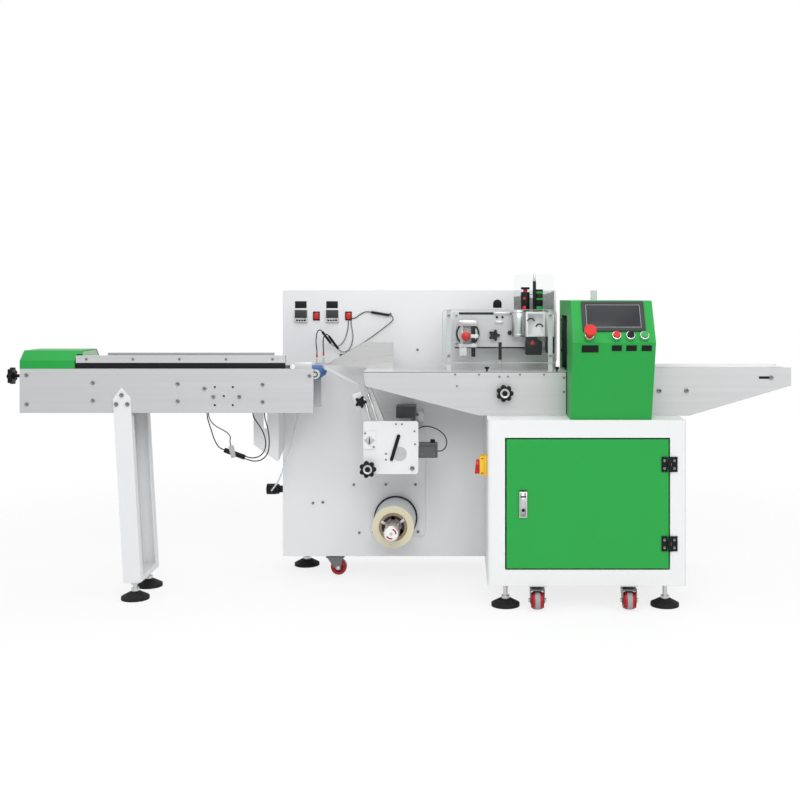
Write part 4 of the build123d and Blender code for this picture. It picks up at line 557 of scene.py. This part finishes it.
repaint(woven("white_belt", (0.74, 0.74, 0.72), 0.55), "discharge_belt")
repaint(green_paint, "infeed_hood")
# The end piece is painted a paler green than the hood: painted light, for the lit inside of the hood's rear
# shoulder.
shoulder, end_middle, roof_middle, roof_share = 0.825, -0.0475, -0.059, 0.74
end_top = add_block("end_top", (-1.0858, -0.142, shoulder), (-1.0842, 0.047, 0.8562), 0.0002)
for corner in end_top.data.vertices:
    if corner.co.z > shoulder + 0.01:
        corner.co.y = (corner.co.y - end_middle) * roof_share + roof_middle
end_foot = add_block("end_foot", (-1.0858, -0.142, 0.802), (-1.0842, 0.047, shoulder), 0.0002)
painted_light_green = surface("hood_end_painted_light", (0.36, 0.60, 0.38), 0.4, mottle=0.08, grain=0.1)
dress(join_pieces("hood_end", [end_top, end_foot]), painted_light_green)
repaint(white_paint, "infeed_supports")
repaint(black_plastic, "infeed_knob")
infeed_face, leg_face, bed_face = -169.03, -174.03, -154.03
add_screws("infeed_screws", at_depth(infeed_face, (
    (-1037.5, 748.5), (-1037.5, 688), (-1266, 775), (-1265, 675), (-745.8, 745), (-745.8, 685.5), (-654, 729),
    (-623.4, 700.7), (-534, 700.7), (-454, 742.6), (-454, 682.8), (-293, 772.5))), 0.0066)
add_screws("leg_bolts", at_depth(leg_face, ((-937, 707), (-955.5, 675.7), (-917, 675.7))), 0.0075)
# These black strips fill the gaps under the guide rails: partly the black belt's own colour seen there, partly
# painted shade under the rails.
dress(join_pieces("belt_and_shade_strips", [
    add_block("belt_shade_strip", (x_low, y_low, 0.7971), (x_high, y_low + 0.0086, 0.8179))
    for y_low, x_low, x_high in ((-0.1693, -1.0967, -0.3763), (0.0427, -1.0467, -0.4493))]), black_plastic)
add_screws("rail_bolts", [(x, infeed_face, 830) for x in (-1060, -900, -740, -580, -420)], 0.0045)
# The slot is a black block on the side plate, painted shade in the opening.
dress(add_block("discharge_slot", (1.2563, -0.1544, 0.7612), (1.3063, -0.1534, 0.7702), 0.0003), black_plastic)
add_screws("tension_bolt", [(1298, -154.4, 765.7)], 0.0075)
thumb_parts = []
for x in (0.3177, 0.5594):
    thumb_parts += [add_round("stem", (x, -0.150, 0.7858), (x, -0.150, 0.794), 0.003),
                    add_round("thumb_screw", (x, -0.150, 0.7935), (x, -0.150, 0.8025), 0.0045, 0.0012, 14, 0.0095)]
dress(join_pieces("thumb_screws", thumb_parts), black_plastic)
add_screws("bed_screws", at_depth(bed_face, (
    (208, 776), (290, 776), (431.7, 776), (514.5, 776), (361, 769), (390, 769), (214, 736))), 0.0035)
dress(add_block("bed_seam", (-0.1085, -0.1543, 0.7832), (0.5905, -0.1538, 0.7848), 0.0002), black_plastic)
add_screws("bed_end_bolts", at_depth(bed_face, ((583, 765), (583, 716))), 0.0045)
add_screws("discharge_bolts", at_depth(bed_face, ((912, 720), (1006, 720.5))), 0.0082)

# Former and film feed: the bent stainless wing and its arms, the white film plate with its pointer, polished
# guide bars, moulded handwheels and clamp knobs, the photo eye in its plastic case and the drive's dark cover.
repaint(stainless, "former", "film_rollers")
repaint(white_paint, "film_plate")
dress(add_block("drive_cover", (-0.0058, 0.0117, 0.6077), (0.0628, 0.1218, 0.6483), 0.0002),
      surface("cover_grey", (0.06, 0.062, 0.065), 0.45, mottle=0.1, grain=0.2))
repaint(black_plastic, "clamp_knobs")
bar_steel = surface("bar_steel", (0.62, 0.62, 0.62), 0.14, metallic=1.0, mottle=0.06, grain=0.05)
dress(join_pieces("guide_bars", [
    add_round("bar", (-0.0895, -0.0876, 0.6087), (-0.1135, -0.0876, 0.688), 0.0045),
    add_round("bar", (-0.0660, -0.0876, 0.6087), (-0.0990, -0.0876, 0.706), 0.0045)]),
      bar_steel)
film_edge = add_block("film_edge", (0, -0.0885, -0.010), (0.168, -0.0875, 0), 0.0003)
film_edge.data.transform(Matrix.Translation((-0.2495, 0, 0.7995)) @ Matrix.Rotation(math.radians(26.6), 4, "Y"))
film_sheen = surface("film_sheen", (0.58, 0.59, 0.59), 0.3, mottle=0.05, grain=0.05)
dress(film_edge, film_sheen)
knob_block = add_block("knob_block", (-0.017, -0.0872, -0.028), (0.017, -0.0812, 0.028), 0.002)
knob_block.data.transform(Matrix.Translation((-0.131, 0, 0.680)) @ Matrix.Rotation(math.radians(-17), 4, "Y"))
dress(knob_block, white_paint)
dress(add_block("drive_bracket", (0.040, 0.1206, 0.560), (0.091, 0.1222, 0.6255), 0.0006), stainless)
repaint(surface("eye_plastic", (0.075, 0.078, 0.082), 0.4, mottle=0.1, grain=0.2), "photo_eye")
pointer_x = -0.0928
dress(add_round("pointer_plate", (pointer_x, -0.0929, 0.541), (pointer_x, -0.0942, 0.541), 0.019, 0.0003, sides=4),
      stainless)
dress(add_round("pointer", (pointer_x, -0.0945, 0.529), (pointer_x, -0.0945, 0.556), 0.0024, 0.0003, 12, 0.0006),
      black_plastic)
eye_face, film_face, pointer_face = -84.03, -89.03, -93.03
add_screws("eye_screws", at_depth(eye_face, ((90, 492), (135, 492))), 0.003)
add_screws("film_plate_screws", at_depth(film_face, (
    (-0.1, 597.2), (21, 597.2), (64.8, 572.6), (66.6, 527), (-35.2, 493.3), (-35.2, 472.5))), 0.0034)
add_screws("pointer_screws", at_depth(pointer_face, ((-108, 566), (-78, 518))), 0.0036)
add_screws("film_plate_bolt", [(57.5, film_face, 442.7)], 0.008)
dress(add_round("eye_knob", (0.128, -0.062, 0.5298), (0.128, -0.062, 0.541), 0.009, 0.0015, sides=18),
      black_plastic)
grip_reach, lobe_count, lobe_ring = 0.030, 7, 0.0215
for wheel in ("film_handwheel", "centre_handwheel"):
    wheel_low, wheel_high = (Vector(corner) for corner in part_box(wheel))
    face = Vector((wheel_high.x - grip_reach, wheel_low.y, (wheel_low.z + wheel_high.z) / 2))
    inward = Vector((0, 1, 0))
    wheel_parts = [add_round("core", face + inward * 0.016, face, 0.0235, 0.0022, sides=64),
                   add_round("hub", face + inward * 0.022, face + inward * 0.0155, 0.012),
                   add_round("shaft", face + inward * 0.038, face + inward * 0.0155, 0.006)]
    for lobe in range(lobe_count):
        angle = math.tau * lobe / lobe_count
        at = face + Vector((math.cos(angle), 0, math.sin(angle))) * lobe_ring
        wheel_parts.append(add_round("lobe", at + inward * 0.0157, at + inward * 0.0003, 0.0085, 0.0025))
    grip = join_pieces(f"{wheel}_grip", wheel_parts)
    dress(grip, black_plastic, wheel)
    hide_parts(wheel)
    ring = add_round(f"{wheel}_ring", face + inward * 0.001, face - inward * 0.0008, 0.016, 0.0003)
    inset_faces(ring, (0, -1, 0), 0.006, 0.0005)
    dress(ring, stainless, wheel)
    dress(add_round(f"{wheel}_cap", face, face - inward * 0.0009, 0.0088, 0.0003), black_plastic, wheel)

# Film reel: the white column on the main plate, a turned steel shaft with a dark chuck and three jaws, the film
# wound on its card core, and a white end cap with two red arcs.
repaint(white_paint, "reel_column")
reel_x, reel_z = -0.0115, 0.232
bracket_face, column_face = 120.57, 121.97
add_screws("column_screws", [(67.5, bracket_face, 609), *at_depth(column_face, (
    (-49.2, 350.6), (60, 350), (-95, 175), (69.2, 175)))], 0.0055)


def radial_material(name, bands, roughness):
    """A material whose colour follows the distance from the reel's axis: bands of (up to radius, colour)."""
    material = surface(name, bands[-1][1], roughness, mottle=0.04, grain=0.06)
    tree = material.node_tree
    base_colour = tree.nodes["Principled BSDF"].inputs["Base Color"]
    place = find_node(tree, "TEX_COORD").outputs["Object"]
    centred = add_node(tree, "VectorMath", {0: place, 1: (1, 0, 1), 2: (-reel_x, 0, -reel_z)}, "MULTIPLY_ADD")
    distance = add_node(tree, "VectorMath", {0: centred.outputs["Vector"]}, "LENGTH").outputs["Value"]
    winding_rate = 7000  # radians of wave per metre of radius
    wound = add_node(tree, "Math", {0: distance, 1: winding_rate}, "MULTIPLY").outputs["Value"]
    turns = add_node(tree, "Math", {0: wound}, "SINE").outputs["Value"]
    colour = base_colour.links[0].from_socket
    for radius, band in reversed(bands[:-1]):
        inside = add_node(tree, "Math", {0: distance, 1: radius}, "LESS_THAN").outputs["Value"]
        colour = add_node(tree, "Mix", {"Factor": inside, "A": colour, "B": (*band, 1)}).outputs["Result"]
    lines = add_node(tree, "Mix", {"Factor": turns, "A": colour, "B": (0.86, 0.84, 0.8, 1)})
    lines.blend_type = "MULTIPLY"
    tree.links.new(lines.outputs["Result"], base_colour)
    return material


repaint(radial_material("film", [(0.0502, (0.26, 0.18, 0.11)), (0.0735, (0.66, 0.62, 0.45)),
                                 (0.1, (0.64, 0.68, 0.69))], 0.4), "film_roll")
shaft_steel = radial_material("shaft", [(0.0285, (0.50, 0.50, 0.50)), (0.1, (0.03, 0.03, 0.032))], 0.28)
shaft_steel.node_tree.nodes["Principled BSDF"].inputs["Metallic"].default_value = 0.7
repaint(shaft_steel, "reel_shaft")
jaw_parts = []
for angle in (34, 155, 270):
    jaw = add_block("jaw", (0.029, -0.0745, -0.0045), (0.0475, -0.066, 0.0045), 0.0012)
    jaw.data.transform(Matrix.Translation((reel_x, 0, reel_z)) @ Matrix.Rotation(-math.radians(angle), 4, "Y"))
    jaw_parts.append(jaw)
dress(join_pieces("chuck_jaws", jaw_parts), zinc_steel, "reel")
reel_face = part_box("reel_shaft")[0][1]
cap = add_round("reel_cap", (reel_x, reel_face + 0.003, reel_z), (reel_x, reel_face - 0.0006, reel_z),
                0.0236, 0.001)
cap_white = radial_material("cap_white", [(0.006, (0.5, 0.5, 0.5)), (0.1, (0.82, 0.82, 0.80))], 0.35)
dress(cap, cap_white, "reel")
arc_parts, arc_radius = [], 0.0165
for middle in (35, 245):
    for step in range(9):
        angle = math.radians(middle - 32 + step * 8)
        x, z = reel_x + arc_radius * math.cos(angle), reel_z + arc_radius * math.sin(angle)
        arc_parts.append(add_round("arc", (x, reel_face, z), (x, reel_face - 0.001, z), 0.0027, 0.0003, 16))
dress(join_pieces("cap_arcs", arc_parts), red_plastic, "reel")

# Fin-seal unit and coder: a milled aluminium plate and stand, the red ball lever, the pale coder with its black
# head, plated drum and tower, and clear plastic guards with polished rims, held by screws.
repaint(aluminium, "fin_unit")
repaint(red_plastic, "fin_lever")
clear_sheet = bpy.data.materials.new("clear_sheet_finish")
clear_sheet.use_nodes = True
sheet = clear_sheet.node_tree
sheet_shader = sheet.nodes["Principled BSDF"]
sheet_shader.inputs["Base Color"].default_value = (0.86, 0.90, 0.89, 1)
sheet_shader.inputs["Roughness"].default_value = 0.12
see_through = add_node(sheet, "BsdfTransparent", {"Color": (0.972, 0.98, 0.978, 1)})
facing = add_node(sheet, "LayerWeight", {"Blend": 0.35})
haze = add_node(sheet, "TexNoise", {"Vector": add_node(sheet, "TexCoord").outputs["Object"], "Scale": 9.0})
glint = add_node(sheet, "Math", {0: facing.outputs["Fresnel"], 1: 0.14}, "MULTIPLY")
cover = add_node(sheet, "Math", {0: haze.outputs["Fac"], 1: 0.010, 2: glint.outputs["Value"]}, "MULTIPLY_ADD")
sheet_mix = add_node(sheet, "MixShader", {
    "Fac": cover.outputs["Value"], 1: see_through.outputs["BSDF"], 2: sheet_shader.outputs["BSDF"]})
sheet.links.new(sheet_mix.outputs["Shader"], sheet.nodes["Material Output"].inputs["Surface"])
repaint(clear_sheet, "guard_panels")

rim_corner, rim_width = 0.015, 0.0022
bpy.ops.object.select_all(action="DESELECT")
bpy.ops.mesh.primitive_cube_add(size=1, location=(0.3615, -0.1435, 0.9075))
guard_rim = bpy.context.object
guard_rim.name = "guard_rim"
guard_rim.scale = (0.3966, 0.0056, 0.1856)
bpy.ops.object.transform_apply(location=True, rotation=True, scale=True)
bpy.ops.object.mode_set(mode="EDIT")
bpy.ops.mesh.select_mode(type="EDGE")
bpy.ops.mesh.select_all(action="DESELECT")
bpy.ops.object.mode_set(mode="OBJECT")
rim_points = guard_rim.data.vertices
for edge in guard_rim.data.edges:
    start, end = (rim_points[corner].co for corner in edge.vertices)
    edge.select = abs(start.y - end.y) > 0.001
bpy.ops.object.mode_set(mode="EDIT")
bpy.ops.mesh.bevel(offset=rim_corner, segments=6)
bpy.ops.mesh.select_mode(type="FACE")
bpy.ops.mesh.select_all(action="DESELECT")
bpy.ops.object.mode_set(mode="OBJECT")
for face in guard_rim.data.polygons:
    face.select = abs(face.normal.y) > 0.9
bpy.ops.object.mode_set(mode="EDIT")
bpy.ops.mesh.inset(thickness=rim_width)
bpy.ops.mesh.bridge_edge_loops()
bpy.ops.object.mode_set(mode="OBJECT")
bpy.ops.object.shade_smooth_by_angle(angle=smooth_angle)
rim_grey = surface("rim_grey", (0.46, 0.48, 0.48), 0.2, mottle=0.04, grain=0.05)
dress(guard_rim, rim_grey)

coder_grey = surface("coder_grey", (0.55, 0.56, 0.56), 0.4, mottle=0.05, grain=0.2)
coder_body = add_block("coder_body", (0.4595, -0.0190, 0.901), (0.5305, 0.0410, 0.991), 0.002)
inset_faces(coder_body, (0, -1, 0), 0.007, 0.0015)
coder_arm = add_block("coder_arm", (0.475, 0.0408, 0.920), (0.515, 0.0510, 0.960))
motor_top = add_block("coder_motor", (0.5345, 0.0110, 0.901), (0.5645, 0.0510, 0.978), 0.002)
coder_frame = join_pieces("coder_frame", [coder_body, coder_arm, motor_top])
dress(coder_frame, white_paint)
coder_head = join_pieces("coder_head", [
    add_block("head", (0.4595, -0.0130, 0.836), (0.5175, 0.0350, 0.886), 0.002),
    add_block("head", (0.4625, -0.0130, 0.8855), (0.5020, 0.0350, 0.901), 0.002),
    add_block("head", (0.5345, 0.0110, 0.841), (0.5645, 0.0510, 0.9005), 0.002)])
dress(coder_head, black_plastic)
unit_y, drum_x, tower_x, sleeve_x, mast_x, mast_y = 0.01097, 0.4355, 0.4595, 0.5055, 0.491, -0.0125
drum_parts = [add_round("drum", (drum_x, unit_y, 0.901), (drum_x, unit_y, 0.996), 0.025, 0.002)]
for z in (0.905, 0.986):
    drum_parts.append(add_round("rim", (drum_x, unit_y, z), (drum_x, unit_y, z + 0.006), 0.0256, 0.0008))
coder_drum = join_pieces("coder_drum", drum_parts)
dress(coder_drum, zinc_steel)
spring_parts = []
for x, z in ((0.478, 0.955), (0.508, 0.935)):
    for step in range(8):
        angle = math.radians(20 + step * 20)
        at = Vector((x + 0.012 * math.cos(angle), -0.0176, z + 0.012 * math.sin(angle)))
        spring_parts.append(add_round("spring", at, at - Vector((0, 0.0026, 0)), 0.0026, 0.0004, sides=16))
dress(join_pieces("coder_springs", spring_parts), black_plastic)
dress(add_round("coder_mark", (0.4847, -0.0128, 0.8795), (0.4847, -0.0138, 0.8795), 0.0105, 0.0002, sides=3),
      red_plastic)
tower_parts = [
    add_round("tower", (tower_x, unit_y, 0.991), (tower_x, unit_y, 1.061), 0.016, 0.0015),
    add_round("tower", (sleeve_x, unit_y, 0.991), (sleeve_x, unit_y, 1.071), 0.018, 0.0015),
    add_round("mast", (mast_x, mast_y, 0.9905), (mast_x, mast_y, 1.100), 0.006),
    add_round("tower_cap", (tower_x, unit_y, 1.0705), (tower_x, unit_y, 1.079), 0.016, 0.0012),
]
mast_tip = add_round("mast_tip", (mast_x, mast_y, 1.0995), (mast_x, mast_y, 1.129), 0.0058, 0.0006,
                     end_radius=0.003)
dress(mast_tip, stainless)
coder_tower = join_pieces("coder_tower", tower_parts)
dress(coder_tower, black_plastic)
for piece in (coder_frame, coder_head, coder_drum, coder_tower, mast_tip):
    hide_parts("coder")
dress(join_pieces("tower_red", [
    add_round("neck", (tower_x, unit_y, 1.0605), (tower_x, unit_y, 1.071), 0.0075, 0.0005),
    add_round("button", (0.4555, -0.0035, 1.038), (0.4555, -0.0062, 1.038), 0.0048, 0.0008),
    add_round("button", (0.4555, -0.0035, 1.005), (0.4555, -0.0062, 1.005), 0.0065, 0.0008)]), red_plastic)
dress(join_pieces("tower_green", [
    add_round("band", (sleeve_x, unit_y, z), (sleeve_x, unit_y, z + height), 0.0184, 0.0005)
    for z, height in ((1.000, 0.010), (1.033, 0.006), (1.056, 0.007))]), green_paint)
# The first black strip, along the fin plate's top edge, is painted shade in the gap there.
dress(join_pieces("fin_edges", [
    add_block("edge", (0.221, 0.0497, 0.9795), (0.3465, 0.0511, 0.9879), 0.0003),
    add_block("edge", (0.206, 0.0500, 0.8568), (0.4646, 0.0585, 0.8622), 0.0005),
    add_round("post", (0.3705, 0.05497, 0.815), (0.3705, 0.05497, 0.8572), 0.0058),
    add_block("post", (0.3650, 0.0470, 0.8615), (0.3760, 0.0511, 0.879), 0.0006),
    add_round("stop", (0.4125, 0.0511, 0.983), (0.4125, 0.0455, 0.983), 0.0048),
    add_round("post", (0.2725, unit_y, 0.8785), (0.2725, unit_y, 0.9395), 0.0075),
    add_round("post", (0.2725, unit_y, 0.8282), (0.2725, unit_y, 0.8625), 0.0075)]), black_plastic)
dress(add_block("fin_latch_plate", (0.3465, 0.0465, 0.978), (0.407, 0.0511, 0.9885), 0.0008), stainless)
stand_cap = add_block("stand_cap", (0.2198, -0.0038, 0.9393), (0.2852, 0.0258, 0.9608), 0.004)
inset_faces(stand_cap, (0, 0, 1), 0.004, -0.0015)
dress(stand_cap, zinc_steel)
dress(join_pieces("stand_blocks", [
    add_block("foot", (0.2198, -0.0045, 0.8632), (0.2852, 0.0262, 0.8748), 0.001),
    add_block("slide", (0.2625, -0.0125, 0.8965), (0.2905, 0.0030, 0.9095), 0.001),
    add_block("shoe", (0.2225, -0.0035, 0.8322), (0.2490, 0.0225, 0.8625), 0.001)]), white_paint)
fin_face, guard_face = 50.97, -146.03
add_screws("fin_latch_screws", at_depth(fin_face, ((359, 970), (379, 970))), 0.0045, black_plastic)
dress(add_round("fin_knob", (0.4057, 0.0511, 0.9136), (0.4057, 0.041, 0.9136), 0.0085, 0.0015, sides=16),
      black_plastic)
dress(add_block("fin_latch", (0.353, 0.0475, 0.945), (0.381, 0.0511, 0.957), 0.0012), stainless)
stand_rim = add_round("stand_rim", (0.2525, 0.0508, 0.910), (0.2525, 0.0357, 0.910), 0.0434, 0.0015, sides=72)
inset_faces(stand_rim, (0, -1, 0), 0.007, 0.0002)
dress(stand_rim, black_plastic)
dress(add_round("stand_face", (0.2525, 0.0364, 0.910), (0.2525, 0.0352, 0.910), 0.0362, 0.0006, sides=72),
      aluminium)
add_screws("fin_plate_screws", [(x, fin_face, z) for x in (212, 558) for z in (874, 975)], 0.004)
add_screws("guard_screws", [(x, guard_face, z) for x in (185.5, 537.5) for z in (840, 980)], 0.0045)

# Console: folded sheet in green powder coat, with a dark screen in its moulded bezel, chrome collars round three
# push buttons and the mushroom stop, bare label plates, and black sheets inside the tunnel and in the gap beside
# it, which are painted shade.
repaint(green_paint, "console_housing")
repaint(red_plastic, "button_red", "estop_head")
repaint(black_plastic, "button_black")
repaint(surface("green_plastic", (0.015, 0.30, 0.05), 0.3, mottle=0.08, grain=0.08), "button_green")
chrome = surface("chrome", (0.72, 0.72, 0.72), 0.12, metallic=1.0, mottle=0.03, grain=0.04)
screen_glass = surface("screen_glass", (0.020, 0.022, 0.025), 0.3, mottle=0.2, grain=0.01, sheen=0.25)
nose = Vector((0.5935, -0.36403, 0.895))


def on_console(angle):
    """The plane of a console face that starts at the nose and leans back by an angle."""
    sine, cosine = math.sin(angle), math.cos(angle)
    axes = (Vector((1, 0, 0)), Vector((0, sine, cosine)), Vector((0, -cosine, sine)))
    return Matrix.Translation(nose) @ Matrix(axes).transposed().to_4x4()


on_slope, on_front = on_console(math.atan2(0.085, 0.137)), on_console(-math.atan2(0.085, 0.261))

bezel = add_block("screen_bezel", (0.034, 0.041, 0), (0.241, 0.1552, 0.007), 0.0022)
inset_faces(bezel, (0, 0, 1), 0.011, 0.0015)
bezel.data.transform(on_slope)
bezel_grey = surface("bezel_grey", (0.040, 0.042, 0.046), 0.42, mottle=0.06, grain=0.2, grain_scale=1100,
                     sheen=0.22)
dress(bezel, bezel_grey)
light_frame = add_block("screen_frame", (0.0475, 0.0545, 0.0054), (0.2275, 0.1417, 0.0062), 0.0003)
light_frame.data.transform(on_slope)
dress(light_frame, grey_plastic)
glass = add_block("screen_glass", (0.0492, 0.0562, 0.0056), (0.2258, 0.1400, 0.0065), 0.0003)
glass.data.transform(on_slope)
dress(glass, screen_glass)

collar_parts = []
for x, up in ((0.142, 0.019), (0.1875, 0.019), (0.233, 0.019), (0.053, 0.018)):
    collar = add_round("collar", (x, up, 0), (x, up, 0.019), 0.0145, 0.0012, sides=48)
    inset_faces(collar, (0, 0, 1), 0.0018, 0.0185)
    collar_parts.append(collar)
collars = join_pieces("button_collars", collar_parts)
collars.data.transform(on_slope)
dress(collars, chrome)
estop_skirt = add_round("estop_skirt", (0.053, 0.018, 0.029), (0.053, 0.018, 0.0425), 0.0115, 0.0006, 48, 0.0165)
estop_skirt.data.transform(on_slope)
dress(estop_skirt, red_plastic, "estop")

label_plates = join_pieces("label_plates", [
    add_block("label", (left, -drop, 0), (right, -0.009, 0.0012), 0.0004) for left, right, drop in (
        (0.0286, 0.0841, 0.034), (0.1272, 0.1599, 0.029), (0.1742, 0.2088, 0.029), (0.2245, 0.2578, 0.029))])
label_plates.data.transform(on_front)
dress(label_plates, black_plastic)

# Four black sheets inside the tunnel's mouth are painted shade, where the tunnel is dark.
shade_low, shade_high, shade_wall = Vector((0.5937, -0.1538, 0.7902)), Vector((0.8643, 0.0357, 0.9798)), 0.0012
dress(join_pieces("tunnel_painted_shade", [
    add_block("shade_sheet", shade_low, (shade_high.x, shade_high.y, shade_low.z + shade_wall), 0.0003),
    add_block("shade_sheet", (shade_low.x, shade_low.y, shade_high.z - shade_wall), shade_high, 0.0003),
    add_block("shade_sheet", shade_low, (shade_high.x, shade_low.y + shade_wall, shade_high.z), 0.0003),
    add_block("shade_sheet", (shade_low.x, shade_high.y - shade_wall, shade_low.z), shade_high, 0.0003)]), black_steel)
# The first black strip is painted shade in the gap between the centre side plate and the console; the lugs are
# black brackets.
lug_and_gap_parts = [add_block("shade_gap", (0.5905, -0.1548, 0.640), (0.5937, -0.1530, 0.7855), 0.0003)]
for y in (-0.1635, 0.0365):
    for z in (0.847, 0.957):
        lug_and_gap_parts.append(add_block("lug", (0.5905, y, z), (0.5937, y + 0.009, z + 0.008), 0.0005))
dress(join_pieces("tunnel_lugs_and_shade_gap", lug_and_gap_parts), black_plastic)

# Main plate fittings: two temperature controllers with label plates over them and two rocker switches, snapped
# into the plate, the cord glands, and the air regulator screwed to the housing's side.
controller_parts, display_parts, rocker_parts, key_parts, frame_parts = [], [], [], [], []
for x in (-0.3885, -0.2725):
    body = add_block("controller", (x, 0.12497, 0.949), (x + 0.048, 0.13397, 0.997), 0.0016)
    inset_faces(body, (0, -1, 0), 0.003, 0.001)
    controller_parts.append(body)
    display_parts.append(add_block("display", (x + 0.0015, 0.1247, 0.9655), (x + 0.0465, 0.1264, 0.9955), 0.0005))
    for key in range(4):
        key_x = x + 0.006 + key * 0.0095
        key_parts.append(add_block("key", (key_x, 0.1249, 0.954), (key_x + 0.0072, 0.1264, 0.960), 0.0005))
    frame_parts.append(add_block("label", (x + 0.001, 0.13297, 1.0018), (x + 0.044, 0.13397, 1.0277), 0.0003))
for x in (-0.3205, -0.2015):
    frame_parts.append(add_block("rocker_frame", (x, 0.12997, 0.9565), (x + 0.025, 0.13397, 0.9895), 0.001))
    rocker_parts.append(add_block("rocker", (x + 0.004, 0.1274, 0.961), (x + 0.021, 0.1305, 0.985), 0.0014))
controllers = join_pieces("controllers", controller_parts)
dress(controllers, coder_grey)
rocker_frames = join_pieces("rocker_frames", frame_parts)
dress(rocker_frames, black_plastic)
displays = join_pieces("displays", display_parts)
dress(displays, bezel_grey)
dress(join_pieces("controller_keys", key_parts), black_plastic)
rockers = join_pieces("rockers", rocker_parts)
dress(rockers, red_plastic)
gland_parts = []
for x, z in ((-0.3725, 0.700), (-0.2165, 0.827)):
    gland_parts.append(add_round("gland", (x, 0.13397, z), (x, 0.12797, z), 0.006, 0.001, sides=6))
regulator_at = Vector((-0.4325, 0.16397, 0.326))
for reach_in, reach_out, radius in ((0, 0.018, 0.013), (0.018, 0.030, 0.0185), (0.030, 0.064, 0.020)):
    gland_parts.append(add_round("regulator", regulator_at - Vector((reach_in, 0, 0)),
                                 regulator_at - Vector((reach_out, 0, 0)), radius, 0.0014))
port = Vector((-0.4735, 0.16397, 0.326))
gland_parts.append(add_round("port", port, port - Vector((0, 0.026, 0)), 0.007, 0.0006, sides=6))
regulator = join_pieces("regulator_and_glands", gland_parts)
dress(regulator, black_plastic)
for piece in (bezel, light_frame, glass, collars, controllers, rocker_frames, displays, rockers, regulator,
              switch_plate):
    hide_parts("panel_fittings")
